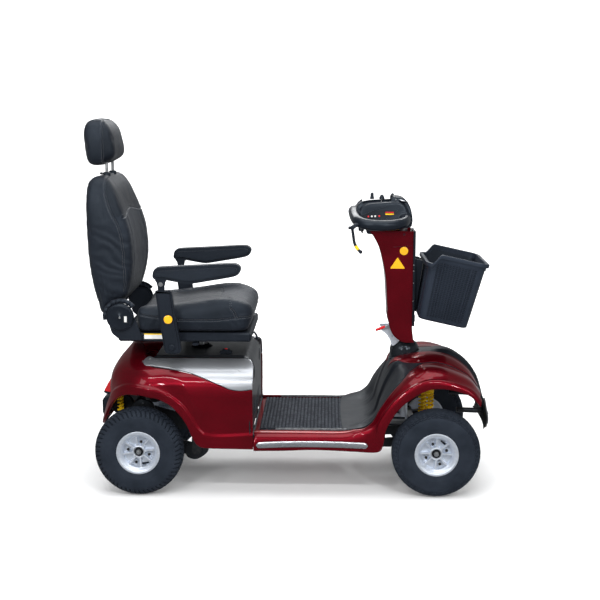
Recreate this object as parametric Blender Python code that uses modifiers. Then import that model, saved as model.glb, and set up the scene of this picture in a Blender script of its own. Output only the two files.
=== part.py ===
"""Four-wheeled mobility scooter: separate named solids, in metres, +X forward, +Y left, +Z up."""

import math

import bmesh
import bpy
import numpy as np
from mathutils import Matrix, Vector

for old in list(bpy.data.objects):
    bpy.data.objects.remove(old, do_unlink=True)

# Driving dimensions
HALF_BASE = 0.552  # axle to origin
TRACK_Y = 0.280  # wheel centre plane
TYRE_R = 0.165
TYRE_HALF_W = 0.050
RIM_R = 0.0765
AXLE_Z = TYRE_R
GAP = 0.0006  # between touching pieces
SKIN = 0.003  # moulded panels
KINGPIN_Y = 0.205
STEER_X = 0.448
PITMAN = 0.070
TILT_PIVOT = (0.423, 0.0, 0.566)
REAR_PIVOT = (-0.350, 0.0, 0.137)
FRONT_PIVOT = (0.300, 0.0, 0.137)
POST_X = -0.345
RECLINE_PIVOT = (-0.621, 0.0, 0.662)
ARM_Y = 0.285
ARM_PIVOT = (-0.459, 0.794)
BASKET_BASE = (0.581, 0.0, 0.6245)
BASKET_TILT = math.radians(12.5)

PARTS = bpy.data.collections.new("mobility_scooter")
bpy.context.scene.collection.children.link(PARTS)
CUTTERS = bpy.data.collections.new("cutters")
bpy.context.scene.collection.children.link(CUTTERS)


def material(name, color, metallic, roughness):
    mat = bpy.data.materials.new(name)
    mat.use_nodes = True
    shader = mat.node_tree.nodes["Principled BSDF"]
    shader.inputs["Base Color"].default_value = (*color, 1.0)
    shader.inputs["Metallic"].default_value = metallic
    shader.inputs["Roughness"].default_value = roughness
    return mat


LOOKS = {
    "red": ((0.22, 0.006, 0.018), 0.4, 0.25),
    "black": ((0.016, 0.017, 0.020), 0.0, 0.45),
    "gloss": ((0.012, 0.013, 0.016), 0.0, 0.18),
    "silver": ((0.55, 0.56, 0.58), 0.8, 0.32),
    "steel": ((0.60, 0.61, 0.62), 1.0, 0.25),
    "frame": ((0.014, 0.014, 0.015), 0.3, 0.5),
    "rubber": ((0.030, 0.031, 0.033), 0.0, 0.75),
    "leather": ((0.035, 0.037, 0.042), 0.0, 0.5),
    "yellow": ((0.85, 0.62, 0.02), 0.0, 0.4),
    "case": ((0.05, 0.05, 0.06), 0.0, 0.6),
}


def finish(name, mesh, look, smooth=True, parent=None):
    """Make the object of one node, with its own material and outward faces."""
    bm = bmesh.new()
    bm.from_mesh(mesh)
    bmesh.ops.remove_doubles(bm, verts=bm.verts, dist=1e-6)
    bmesh.ops.recalc_face_normals(bm, faces=bm.faces)
    bm.to_mesh(mesh)
    bm.free()
    mesh.materials.clear()
    mesh.materials.append(material(name, *LOOKS[look]))
    mesh.name = name
    obj = bpy.data.objects.new(name, mesh)
    PARTS.objects.link(obj)
    if smooth:
        for face in mesh.polygons:
            face.use_smooth = True
        mesh.set_sharp_from_angle(angle=math.radians(35))
    return obj


def evaluated(mesh, build):
    """Mesh after the modifiers that build() adds to a throwaway object."""
    obj = bpy.data.objects.new("work", mesh)
    CUTTERS.objects.link(obj)
    build(obj)
    graph = bpy.context.evaluated_depsgraph_get()
    result = bpy.data.meshes.new_from_object(obj.evaluated_get(graph))
    bpy.data.objects.remove(obj, do_unlink=True)
    return result


def combine(base, others, operation):
    """EXACT Boolean of meshes, one after another."""
    for other in others:
        tool = bpy.data.objects.new("tool", other)
        tool.hide_render = True
        tool.display_type = "WIRE"
        CUTTERS.objects.link(tool)

        def build(obj, tool=tool):
            mod = obj.modifiers.new("Boolean", "BOOLEAN")
            mod.solver = "EXACT"
            mod.operation = operation
            mod.object = tool

        base = evaluated(base, build)
        bpy.data.objects.remove(tool, do_unlink=True)
    return base


def union(*meshes):
    return combine(meshes[0], meshes[1:], "UNION")


def cut(base, *others):
    return combine(base, others, "DIFFERENCE")


def from_bmesh(bm):
    bmesh.ops.recalc_face_normals(bm, faces=bm.faces)
    mesh = bpy.data.meshes.new("mesh")
    bm.to_mesh(mesh)
    bm.free()
    return mesh


def box(low, high, bevel=0.0, segments=1):
    bm = bmesh.new()
    bmesh.ops.create_cube(bm, size=1.0)
    size = Vector(high) - Vector(low)
    middle = (Vector(high) + Vector(low)) / 2
    bmesh.ops.scale(bm, vec=size, verts=bm.verts)
    bmesh.ops.translate(bm, vec=middle, verts=bm.verts)
    if bevel:
        bmesh.ops.bevel(bm, geom=bm.edges[:], offset=bevel, segments=segments, affect="EDGES")
    return from_bmesh(bm)


def plate(points, low, high, axis="Y", bevel=0.0, segments=1):
    """Flat outline extruded along an axis, with bevelled rims."""
    spot = {
        "Y": lambda a, b, c: (a, c, b),
        "X": lambda a, b, c: (c, a, b),
        "Z": lambda a, b, c: (a, b, c),
    }[axis]
    bm = bmesh.new()
    ring = [bm.verts.new(spot(a, b, low)) for a, b in points]
    face = bm.faces.new(ring)
    moved = bmesh.ops.extrude_face_region(bm, geom=[face])
    tops = [v for v in moved["geom"] if isinstance(v, bmesh.types.BMVert)]
    shift = Vector(spot(0, 0, high)) - Vector(spot(0, 0, low))
    bmesh.ops.translate(bm, vec=shift, verts=tops)
    if bevel:
        index = {"X": 0, "Y": 1, "Z": 2}[axis]
        rims = [e for e in bm.edges if abs(e.verts[0].co[index] - e.verts[1].co[index]) < 1e-9]
        bmesh.ops.bevel(bm, geom=rims, offset=bevel, segments=segments, affect="EDGES")
    return from_bmesh(bm)


def lathe(profile, segments, center=(0, 0, 0), axis="Y"):
    """Profile of (radius, height) turned about an axis; closed if no point is on the axis."""
    bm = bmesh.new()
    turn = (0.5 / segments) * 2 * math.pi
    verts = [bm.verts.new((0.0, h, -r)) for r, h in profile]
    edges = [bm.edges.new(pair) for pair in zip(verts, verts[1:])]
    if profile[0][0] > 1e-9:
        edges.append(bm.edges.new((verts[-1], verts[0])))
    bmesh.ops.rotate(bm, verts=bm.verts, cent=(0, 0, 0), matrix=Matrix.Rotation(turn, 3, "Y"))
    bmesh.ops.spin(bm, geom=verts + edges, cent=(0, 0, 0), axis=(0, 1, 0), angle=2 * math.pi,
                   steps=segments, use_merge=True)
    bmesh.ops.remove_doubles(bm, verts=bm.verts, dist=1e-6)
    turned = {"Y": Matrix(), "Z": Matrix.Rotation(math.pi / 2, 4, "X"),
              "X": Matrix.Rotation(-math.pi / 2, 4, "Z")}[axis]
    bmesh.ops.transform(bm, matrix=Matrix.Translation(center) @ turned, verts=bm.verts)
    return from_bmesh(bm)


def rod(start, end, radius, segments=12):
    """Round bar between two points."""
    start = Vector(start)
    end = Vector(end)
    bm = bmesh.new()
    bmesh.ops.create_cone(bm, cap_ends=True, segments=segments, radius1=radius, radius2=radius,
                          depth=(end - start).length)
    turn = (end - start).to_track_quat("Z", "X").to_matrix().to_4x4()
    bmesh.ops.transform(bm, matrix=Matrix.Translation((start + end) / 2) @ turn, verts=bm.verts)
    return from_bmesh(bm)


def tube(points, radius, closed=False, resolution=2, kind="POLY", samples=4):
    """Bar bent along points: a curve with a round bevel and filled ends, as a mesh."""
    curve = bpy.data.curves.new("path", "CURVE")
    curve.dimensions = "3D"
    curve.bevel_depth = radius
    curve.bevel_resolution = resolution
    curve.use_fill_caps = True
    curve.resolution_u = samples
    spline = curve.splines.new(kind)
    spline.points.add(len(points) - 1)
    for spot, point in zip(spline.points, points):
        spot.co = (*point, 1.0)
    spline.use_cyclic_u = closed
    if kind == "NURBS":
        spline.order_u = 3
        spline.use_endpoint_u = not closed
    obj = bpy.data.objects.new("path", curve)
    CUTTERS.objects.link(obj)
    graph = bpy.context.evaluated_depsgraph_get()
    mesh = bpy.data.meshes.new_from_object(obj.evaluated_get(graph))
    bpy.data.objects.remove(obj, do_unlink=True)
    bm = bmesh.new()
    bm.from_mesh(mesh)
    bmesh.ops.remove_doubles(bm, verts=bm.verts, dist=1e-6)
    return from_bmesh(bm)


def shell(rows, thickness=SKIN):
    """Panel through rows of points, thickened on its inner side."""
    bm = bmesh.new()
    grid = [[bm.verts.new(p) for p in row] for row in rows]
    for one, two in zip(grid, grid[1:]):
        for a, b, c, d in zip(one, one[1:], two[1:], two):
            bm.faces.new((a, b, c, d))
    bmesh.ops.recalc_face_normals(bm, faces=bm.faces)
    middle = sum((v.co for v in bm.verts), Vector()) / len(bm.verts)
    lean = sum((f.normal.dot(f.calc_center_median() - middle) for f in bm.faces))
    if lean < 0:
        bmesh.ops.reverse_faces(bm, faces=bm.faces)
    mesh = bpy.data.meshes.new("shell")
    bm.to_mesh(mesh)
    bm.free()

    def build(obj):
        mod = obj.modifiers.new("Solidify", "SOLIDIFY")
        mod.thickness = thickness
        mod.offset = -1.0
        mod.use_even_offset = False

    return evaluated(mesh, build)


def mirrored(mesh):
    bm = bmesh.new()
    bm.from_mesh(mesh)
    bmesh.ops.scale(bm, vec=(1, -1, 1), verts=bm.verts)
    bmesh.ops.reverse_faces(bm, faces=bm.faces)
    return from_bmesh(bm)


def pair(name, mesh, look):
    """The right-hand piece as drawn (-Y) and its mirror image on the left."""
    finish(name + "_left", mirrored(mesh), look)
    finish(name + "_right", mesh, look)


def lerp(value, table):
    xs, ys = zip(*table)
    return float(np.interp(value, xs, ys))


def rounded(points, radius, steps=2):
    """Outline with its corners rounded."""
    result = []
    count = len(points)
    for i, point in enumerate(points):
        here = Vector(point)
        before = Vector(points[i - 1]) - here
        after = Vector(points[(i + 1) % count]) - here
        reach = min(radius, before.length * 0.45, after.length * 0.45)
        first = here + before.normalized() * reach
        last = here + after.normalized() * reach
        for k in range(steps + 1):
            t = k / steps
            result.append(tuple((first * (1 - t) ** 2 + here * 2 * t * (1 - t) + last * t * t)))
    return result


# Wheels ------------------------------------------------------------------------------------------
def ring(half, reverse=1):
    """Profile with its mirror image, so that it is the same on both sides of the wheel."""
    return half + [(r, -h) for r, h in reversed(half)]


TYRE = ring([(0.0773, 0.034), (0.100, 0.0470), (0.130, TYRE_HALF_W), (0.156, 0.038),
             (TYRE_R / math.cos(math.pi / 24), 0.018)])
RIM_OUT = [(RIM_R, -0.0384), (0.083, -0.0388), (0.083, -0.041), (0.073, -0.040), (0.0722, -0.012),
           (0.026, -0.016), (0.026, -0.024)]
RIM_IN = [(0.026, 0.020), (0.026, -0.008), (0.0722, -0.004), (0.073, 0.040), (0.083, 0.041),
          (0.083, 0.0388), (RIM_R, 0.0384)]
for end, x in (("rear", -HALF_BASE), ("front", HALF_BASE)):
    hub = (x, -TRACK_Y, AXLE_Z)
    pair("tyre_" + end, lathe(TYRE, 24, hub), "rubber")
    if end == "rear":
        profile = [(0.0, 0.0435), (0.011, 0.0435), (0.011, 0.020)] + RIM_IN + RIM_OUT + [(0.0, -0.024)]
    else:
        profile = [(0.0105, 0.020)] + RIM_IN + RIM_OUT + [(0.0105, -0.024)]
    pair("rim_" + end, lathe(profile, 16, hub), "silver")

# Rear running gear -------------------------------------------------------------------------------
AXLE = [(0.0, -0.2352), (0.024, -0.2352), (0.024, -0.060), (0.062, -0.046), (0.066, 0.0), (0.062, 0.046),
        (0.024, 0.060), (0.024, 0.2352), (0.0, 0.2352)]
MOTOR = [(0.0, -0.158), (0.040, -0.158), (0.045, -0.150), (0.045, 0.030), (0.0, 0.030)]
gears = plate(rounded([(-0.685, 0.312), (-0.634, 0.358), (-0.588, 0.330), (-0.500, 0.175), (-0.560, 0.110),
                       (-0.618, 0.165)], 0.025), -0.020, 0.035)
finish("transaxle", union(lathe(AXLE, 16, (-HALF_BASE, 0, AXLE_Z)), gears,
                          lathe(MOTOR, 16, (-HALF_BASE - 0.082, 0, 0.306))), "frame")

SWING = rounded([(-0.334, 0.120), (-0.334, 0.154), (-0.520, 0.205), (-0.618, 0.236), (-0.652, 0.236),
                 (-0.652, 0.205), (-0.590, 0.145), (-0.540, 0.122)], 0.014)
swing = rod((-0.350, -0.176, 0.137), (-0.350, 0.176, 0.137), 0.012, 12)
for side in (-1, 1):
    swing = union(swing, plate(SWING, side * 0.170 - 0.006, side * 0.170 + 0.006))
swing = cut(swing, rod((-HALF_BASE, -0.2, AXLE_Z), (-HALF_BASE, 0.2, AXLE_Z), 0.0245, 16))
for side in (-1, 1):
    swing = union(swing, box((-0.650, side * 0.184 - 0.0140, 0.2275), (-0.626, side * 0.184 + 0.0140, 0.2365)))
finish("rear_swing_arm", swing, "frame")

SHOCK_REAR = [(0.0, 0.2371), (0.0135, 0.2371), (0.0135, 0.3790), (0.0, 0.3790)]
pair("rear_shock", lathe(SHOCK_REAR, 12, (-0.638, -0.184, 0.0), "Z"), "yellow")

# Front running gear ------------------------------------------------------------------------------
ARM_FRONT = rounded([(0.286, 0.125), (0.286, 0.150), (0.535, 0.181), (0.566, 0.181), (0.566, 0.149),
                     (0.40, 0.128)], 0.012)
beam = box((0.5395, -0.217, 0.1500), (0.5645, 0.217, 0.1800), 0.003)
beam = union(beam, rod((0.300, -0.0935, 0.137), (0.300, 0.0935, 0.137), 0.012, 12))
for side in (-1, 1):
    beam = union(beam, plate(ARM_FRONT, side * 0.085 - 0.006, side * 0.085 + 0.006))
    beam = union(beam, box((0.518, side * 0.145 - 0.016, 0.1700), (0.550, side * 0.145 + 0.016, 0.1850)))
for side in (-1, 1):
    beam = cut(beam, rod((HALF_BASE, side * KINGPIN_Y, 0.14), (HALF_BASE, side * KINGPIN_Y, 0.19), 0.0086, 12))
finish("front_axle_beam", beam, "frame")

SHOCK_FRONT = [(0.0, 0.1856), (0.0185, 0.1856), (0.0185, 0.3840), (0.0, 0.3840)]
pair("front_shock", lathe(SHOCK_FRONT, 12, (0.5355, -0.145, 0.0), "Z"), "yellow")

C_SHAPE = [(-0.192, 0.1812), (-0.240, 0.1812), (-0.240, 0.134), (-0.192, 0.134), (-0.192, 0.1488),
           (-0.2242, 0.1488), (-0.2242, 0.1812)]
upright = union(box((0.538, -0.240, 0.134), (0.566, -0.2242, 0.196)),
                box((0.538, -0.2300, 0.134), (0.566, -0.192, 0.1488)),
                plate(rounded([(0.566, -0.240), (0.566, -0.192), (0.482, -0.193), (0.474, -0.205),
                               (0.482, -0.217), (0.538, -0.240)], 0.006), 0.1812, 0.196, "Z"),
                rod((HALF_BASE, -KINGPIN_Y, 0.140), (HALF_BASE, -KINGPIN_Y, 0.190), 0.008, 12),
                rod((HALF_BASE - PITMAN, -KINGPIN_Y, 0.190), (HALF_BASE - PITMAN, -KINGPIN_Y, 0.216), 0.004, 8),
                rod((HALF_BASE, -0.232, AXLE_Z), (HALF_BASE, -0.3065, AXLE_Z), 0.0100, 16))
pair("knuckle", upright, "frame")

bar = plate(rounded([(0.470, -0.215), (0.494, -0.215), (0.494, 0.215), (0.470, 0.215), (0.470, 0.014),
                     (0.366, 0.014), (0.366, -0.014), (0.470, -0.014)], 0.006), 0.1990, 0.2110, "Z")
holes = [rod((HALF_BASE - PITMAN, y, 0.19), (HALF_BASE - PITMAN, y, 0.22), 0.0046, 8)
         for y in (-KINGPIN_Y, KINGPIN_Y)]
for x in (STEER_X - PITMAN, STEER_X - PITMAN + 0.0055):
    holes.append(rod((x, 0, 0.19), (x, 0, 0.22), 0.0056, 8))
finish("tie_rod", cut(bar, *holes), "steel")

# Chassis -----------------------------------------------------------------------------------------
RAIL = [(-0.660, 0.410), (-0.330, 0.410), (-0.330, 0.217), (0.296, 0.217), (0.470, 0.415), (0.660, 0.415),
        (0.660, 0.385), (0.484, 0.385), (0.310, 0.187), (-0.360, 0.187), (-0.360, 0.380), (-0.660, 0.380)]
chassis = box((-0.660, -0.198, 0.3800), (-0.620, 0.198, 0.4100))
members = [plate(RAIL, side * 0.115 - 0.015, side * 0.115 + 0.015) for side in (-1, 1)]
members += [
    box((-0.382, -0.110, 0.3860), (-0.308, 0.110, 0.4040)),
    rod((POST_X, 0, 0.390), (POST_X, 0, 0.499), 0.027, 20),
    box((-0.340, -0.270, 0.2060), (-0.145, 0.270, 0.2170)),
    box((-0.362, -0.190, 0.1870), (-0.338, 0.190, 0.2100)),
    box((0.285, -0.120, 0.1900), (0.305, 0.120, 0.2100)),
    box((0.4100, -0.110, 0.3900), (0.4860, 0.110, 0.4100)),
    rod((STEER_X, 0, 0.360), (STEER_X, 0, 0.440), 0.026, 20),
    box((0.516, -0.180, 0.3850), (0.556, 0.180, 0.4100)),
    box((0.640, -0.120, 0.3850), (0.660, 0.120, 0.4150)),
    box((-0.100, -0.250, 0.1920), (-0.070, 0.250, 0.2120)),
    box((0.200, -0.250, 0.1920), (0.230, 0.250, 0.2120)),
]
chassis = union(chassis, *members)
for side in (-1, 1):
    bracket = plate(rounded([(-0.368, 0.195), (-0.368, 0.122), (-0.332, 0.122), (-0.332, 0.195)], 0.010),
                    side * 0.1826 - 0.006, side * 0.1826 + 0.006)
    low = plate(rounded([(0.284, 0.195), (0.284, 0.122), (0.316, 0.122), (0.316, 0.200)], 0.010),
                side * 0.1071 - 0.013, side * 0.1071 + 0.013)
    chassis = union(chassis, bracket, low)
chassis = cut(chassis, rod((POST_X, 0, 0.37), (POST_X, 0, 0.52), 0.0226, 20),
              rod((STEER_X, 0, 0.34), (STEER_X, 0, 0.46), 0.0166, 16))
finish("chassis_frame", chassis, "frame")
for side, name in ((-1, "right"), (1, "left")):
    low = (-0.307, min(side * 0.005, side * 0.256), 0.2176)
    high = (-0.147, max(side * 0.005, side * 0.256), 0.3790)
    finish("battery_" + name, box(low, high, 0.006), "case")


# Rear body ---------------------------------------------------------------------------------------
HALF_W = [(0.17, 0.314), (0.25, 0.325), (0.38, 0.330), (0.42, 0.324), (0.45, 0.308), (0.47, 0.287),
          (0.49, 0.248), (0.505, 0.204), (0.52, 0.135), (0.53, 0.060)]
BACK = [(0.17, -0.722), (0.22, -0.716), (0.26, -0.708), (0.33, -0.690), (0.40, -0.676), (0.44, -0.668),
        (0.49, -0.642), (0.53, -0.606)]
SIDE_LOW = [(-0.500, 0.376), (-0.490, 0.375), (-0.439, 0.354), (-0.399, 0.317), (-0.368, 0.270),
            (-0.349, 0.222), (-0.333, 0.195), (-0.313, 0.184), (-0.271, 0.181), (-0.1275, 0.179)]
SIDE_TOP = [(-0.500, 0.486), (-0.451, 0.478), (-0.369, 0.465), (-0.307, 0.447), (-0.245, 0.424),
            (-0.204, 0.408), (-0.168, 0.404), (-0.1275, 0.409)]
BEND_LOW = [(0, 0.376), (15, 0.385), (30, 0.383), (45, 0.366), (60, 0.329), (75, 0.262), (90, 0.235)]
BEND_TOP = [(0, 0.486), (15, 0.505), (30, 0.524), (45, 0.530), (90, 0.530)]
BEND_X = -0.500
STATIONS = [-0.1275, -0.168, -0.204, -0.245, -0.271, -0.313, -0.333, -0.349, -0.368, -0.399, -0.439, -0.470]


def side_point(x, z):
    return (x, -lerp(z, HALF_W), z)


def bend_point(degrees, z):
    half = lerp(z, HALF_W)
    reach = BEND_X - lerp(z, BACK)
    angle = math.radians(degrees)
    return (BEND_X - reach * math.sin(angle), -half * (0.5 + 0.5 * math.cos(angle)), z)


def levels(low, top, count):
    return [low + (top - low) * k / (count - 1) for k in range(count)]


half_rows = []
for x in STATIONS:
    half_rows.append([side_point(x, z) for z in levels(lerp(x, SIDE_LOW), lerp(x, SIDE_TOP), 6)])
for degrees in range(0, 91, 15):
    span = levels(lerp(degrees, BEND_LOW), lerp(degrees, BEND_TOP), 6)
    half_rows.append([bend_point(degrees, z) for z in span])
rows = half_rows + [[(x, -y, z) for x, y, z in row] for row in reversed(half_rows)]
finish("rear_shroud", shell(rows), "red")

rows = []
for x in STATIONS:
    rows.append([side_point(x, z) for z in levels(lerp(x, SIDE_TOP) + 0.004, 0.503, 6)])
for degrees in (0, 8):
    rows.append([bend_point(degrees, z) for z in levels(lerp(degrees, BEND_TOP) + 0.005, 0.506, 6)])
pair("side_panel", shell(rows), "silver")

wall_z = levels(0.236, 0.490, 8)
wall = [(-lerp(z + 0.009, HALF_W) + 0.008, z) for z in wall_z]
wall += [(-y, z) for y, z in reversed(wall)]
deck = union(box((-0.498, -0.1960, 0.5000), (-0.150, 0.1960, 0.5060)),
             plate(rounded([(-0.155, 0.500), (-0.155, 0.506), (-0.138, 0.506), (-0.138, 0.480),
                            (-0.143, 0.480), (-0.143, 0.500)], 0.006), -0.195, 0.195),
             plate(wall, -0.1430, -0.1382, "X"))
finish("seat_deck", cut(deck, rod((POST_X, 0, 0.48), (POST_X, 0, 0.52), 0.0255, 20)), "black")

# Floor, sills, front body ------------------------------------------------------------------------
finish("floor_pan", box((-0.1270, -0.2560, 0.2180), (0.2330, 0.2560, 0.2330), 0.002), "red")
PITCH = 0.0136
ribs = [(-0.106, 0.2336)]
for k in range(25):
    left = -0.106 + PITCH * k
    ribs += [(left, 0.2375), (left + 0.004, 0.2405), (left + 0.010, 0.2405)]
ribs += [(-0.106 + 25 * PITCH, 0.2375), (-0.106 + 25 * PITCH, 0.2336)]
finish("floor_mat", plate(ribs, -0.235, 0.235), "rubber", smooth=False)

# (low x, low z, top x, top z, top y): sill, arch, then the front corner
FENDER = [
    (-0.124, 0.178, -0.124, 0.2405, 0.2620), (0.108, 0.184, 0.108, 0.2405, 0.2620),
    (0.248, 0.178, 0.208, 0.2405, 0.2640), (0.332, 0.176, 0.248, 0.249, 0.2760),
    (0.352, 0.204, 0.286, 0.258, 0.2860), (0.360, 0.257, 0.317, 0.284, 0.2890),
    (0.379, 0.296, 0.342, 0.330, 0.2890), (0.410, 0.342, 0.380, 0.383, 0.2810),
    (0.453, 0.380, 0.420, 0.425, 0.2630), (0.503, 0.410, 0.458, 0.462, 0.2110),
    (0.546, 0.420, 0.508, 0.497, 0.1510), (0.596, 0.417, 0.563, 0.500, 0.1340),
    (0.653, 0.401, 0.623, 0.480, 0.1340), (0.684, 0.382, 0.683, 0.440, 0.1440),
    (0.710, 0.340, 0.718, 0.385, 0.1640),
]
# (x, z) of the cowl's middle line beside the last twelve of those, and the nose below them
MIDDLE = [(0.240, 0.243), (0.298, 0.255), (0.333, 0.285), (0.348, 0.335), (0.363, 0.385), (0.378, 0.425),
          (0.403, 0.470), (0.478, 0.496), (0.561, 0.508), (0.628, 0.488), (0.688, 0.438), (0.726, 0.375)]
NOSE = [(0.748, 0.300, 0.165, 0.754, 0.298), (0.760, 0.215, 0.165, 0.7685, 0.215),
        (0.738, 0.190, 0.165, 0.752, 0.188)]


def fender_row(low_x, low_z, top_x, top_z, top_y, count=7, power=0.75):
    low_y = 0.318 + 0.012 * min(max((low_z - 0.18) / 0.08, 0.0), 1.0)
    row = []
    for k in range(count):
        angle = math.pi / 2 * k / (count - 1)
        up = math.sin(angle) ** power if k < count - 1 else 1.0
        out = math.cos(angle) ** power if k < count - 1 else 0.0
        row.append((low_x + (top_x - low_x) * math.sin(angle),
                    -(top_y + (low_y - top_y) * out), low_z + (top_z - low_z) * up))
    return row


pair("front_fender", shell([fender_row(*station) for station in FENDER]), "red")


def cowl_row(x, z, half, mid_x, mid_z, count=11):
    row = []
    for k in range(count):
        t = -1 + 2 * k / (count - 1)
        blend = (1 - t * t) ** 0.8 if abs(t) < 1 else 0.0
        row.append((x + (mid_x - x) * blend, half * t, z + (mid_z - z) * blend))
    return row


rows = [cowl_row(top_x, top_z, top_y - 0.0045, mid_x, mid_z)
        for (_, _, top_x, top_z, top_y), (mid_x, mid_z) in zip(FENDER[3:], MIDDLE)]
rows += [cowl_row(*row) for row in NOSE]
cowl = cut(shell(rows), rod((STEER_X, 0, 0.40), (STEER_X, 0, 0.60), 0.0580, 24))
finish("front_cowl", cowl, "black")
BOOT = [(0.0166, 0.4600), (0.0570, 0.4600), (0.0570, 0.4950), (0.0520, 0.5130), (0.0400, 0.5300), (0.0250, 0.5400),
        (0.0166, 0.5420)]
finish("tiller_boot", lathe(BOOT, 24, (STEER_X, 0, 0), "Z"), "gloss")

trim = [(-0.114, 0.187), (0.090, 0.193), (0.298, 0.187), (0.298, 0.209), (0.090, 0.215), (-0.114, 0.209)]
pair("sill_trim", plate(rounded(trim, 0.009), -0.3275, -0.3202, bevel=0.003), "silver")

# Tiller ------------------------------------------------------------------------------------------
CAST = rounded([(0.353, 0.590), (0.433, 0.590), (0.458, 0.550), (0.466, 0.546), (0.430, 0.5425), (0.395, 0.502),
                (0.388, 0.515), (0.373, 0.560)], 0.006)
column = union(rod((STEER_X, 0, 0.2265), (STEER_X, 0, 0.556), 0.016, 16),
               box((STEER_X - PITMAN - 0.012, -0.012, 0.2265), (STEER_X, 0.012, 0.2365)),
               rod((STEER_X - PITMAN, 0, 0.196), (STEER_X - PITMAN, 0, 0.230), 0.004, 8),
               plate(CAST, -0.0410, -0.0345), plate(CAST, 0.0345, 0.0410),
               box((0.4340, -0.0380, 0.5435), (0.4620, 0.0380, 0.5500)),
               rod((TILT_PIVOT[0], -0.045, 0.566), (TILT_PIVOT[0], 0.045, 0.566), 0.006, 8))
finish("steering_column", column, "silver")

LEVER = rounded([(0.337, 0.578), (0.340, 0.587), (0.384, 0.604), (0.392, 0.598), (0.386, 0.588)], 0.003)
finish("tilt_lever", plate(LEVER, -0.0500, -0.0416, bevel=0.002), "silver")

post = union(rod((0.4240, 0, 0.570), (0.4350, 0, 0.9772), 0.019, 16),
             rod((TILT_PIVOT[0], -0.0338, 0.566), (TILT_PIVOT[0], 0.0338, 0.566), 0.0135, 14),
             box((0.416, -0.0664, 0.640), (0.440, 0.0664, 0.658)),
             box((0.422, -0.0664, 0.900), (0.446, 0.0664, 0.918)))
post = cut(post, rod((TILT_PIVOT[0], -0.05, 0.566), (TILT_PIVOT[0], 0.05, 0.566), 0.0067, 8))
finish("tiller_post", post, "steel")

COVER = [(0.308, 0.965), (0.472, 0.967), (0.472, 0.600), (0.480, 0.536), (0.443, 0.536), (0.415, 0.551),
         (0.396, 0.572), (0.389, 0.596), (0.380, 0.619), (0.376, 0.666), (0.372, 0.737), (0.368, 0.793),
         (0.358, 0.849), (0.344, 0.900), (0.327, 0.936)]
HOLLOW = [(0.314, 0.990), (0.500, 0.990), (0.500, 0.500), (0.440, 0.500), (0.4190, 0.552), (0.4000, 0.574),
          (0.3925, 0.597), (0.3835, 0.620), (0.3795, 0.666), (0.3755, 0.737), (0.3715, 0.793),
          (0.3615, 0.850), (0.3475, 0.901), (0.3300, 0.938), (0.3140, 0.960)]
cover = cut(plate(COVER, -0.070, 0.070, bevel=0.003), plate(HOLLOW, -0.067, 0.067),
            box((0.330, -0.0530, 0.5000), (0.430, 0.0530, 0.6550)))
finish("tiller_cover", cover, "red")

HOOK = [(0.4800, 0.655), (0.4875, 0.655), (0.4925, 0.700), (0.5115, 0.850), (0.4800, 0.858)]
front = union(box((0.4726, -0.069, 0.600), (0.4820, 0.069, 0.966), 0.003),
              plate(HOOK, -0.050, -0.030), plate(HOOK, 0.030, 0.050))
finish("tiller_front_cover", front, "black")

# Console with its wraparound handle
POD = rounded([(0.252, 0.992), (0.262, 0.978), (0.460, 0.978), (0.469, 1.000), (0.463, 1.042), (0.449, 1.074),
               (0.425, 1.088), (0.300, 1.082), (0.262, 1.060), (0.250, 1.030)], 0.012)
LOOP = [(0.438, 0.0), (0.436, 0.115), (0.415, 0.170), (0.375, 0.198), (0.320, 0.204), (0.275, 0.190), (0.257, 0.150),
        (0.262, 0.095), (0.268, 0.0)]
LOOP += [(x, -y) for x, y in reversed(LOOP[1:-1])]
handle = tube([(x, y, 1.020 + 0.10 * (x - 0.262)) for x, y in LOOP], 0.0200, closed=True, resolution=1,
              kind="NURBS", samples=2)
pod = union(plate(POD, -0.092, 0.092, bevel=0.010), handle)
pod = cut(pod, box((0.268, -0.072, 1.0450), (0.400, 0.072, 1.1200)),
          rod((0.290, 0.045, 1.036), (0.290, 0.045, 1.060), 0.0092, 12))
clamp = union(rod((0.238, -0.198, 0.992), (0.250, -0.190, 1.022), 0.0080, 8),
              box((0.230, -0.206, 0.984), (0.246, -0.190, 1.000), 0.002))
finish("console", union(pod, clamp), "black")
finish("speed_dial", union(rod((0.325, 0, 1.0456), (0.325, 0, 1.062), 0.016, 16),
                           box((0.323, -0.015, 1.060), (0.327, 0.015, 1.068))), "black")
finish("ignition_key", union(rod((0.350, -0.045, 1.0456), (0.350, -0.045, 1.058), 0.004, 8),
                             box((0.3488, -0.055, 1.056), (0.3512, -0.035, 1.080))), "steel")
finish("horn_button", rod((0.290, 0.045, 1.0400), (0.290, 0.045, 1.0520), 0.0086, 12), "yellow")
paddle = union(box((0.272, -0.150, 0.9640), (0.280, 0.150, 0.9774), 0.002),
               rod((0.276, 0, 0.9600), (0.276, 0, 0.9774), 0.011, 12))
finish("throttle_lever", paddle, "black")
grip = tube([(0.2385, -0.1980, 0.9785), (0.2420, -0.1990, 0.9600), (0.2460, -0.2000, 0.9360), (0.2570, -0.2000, 0.9150),
             (0.2690, -0.2000, 0.9030)], 0.0055, resolution=1)
finish("brake_lever", grip, "steel")

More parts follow.
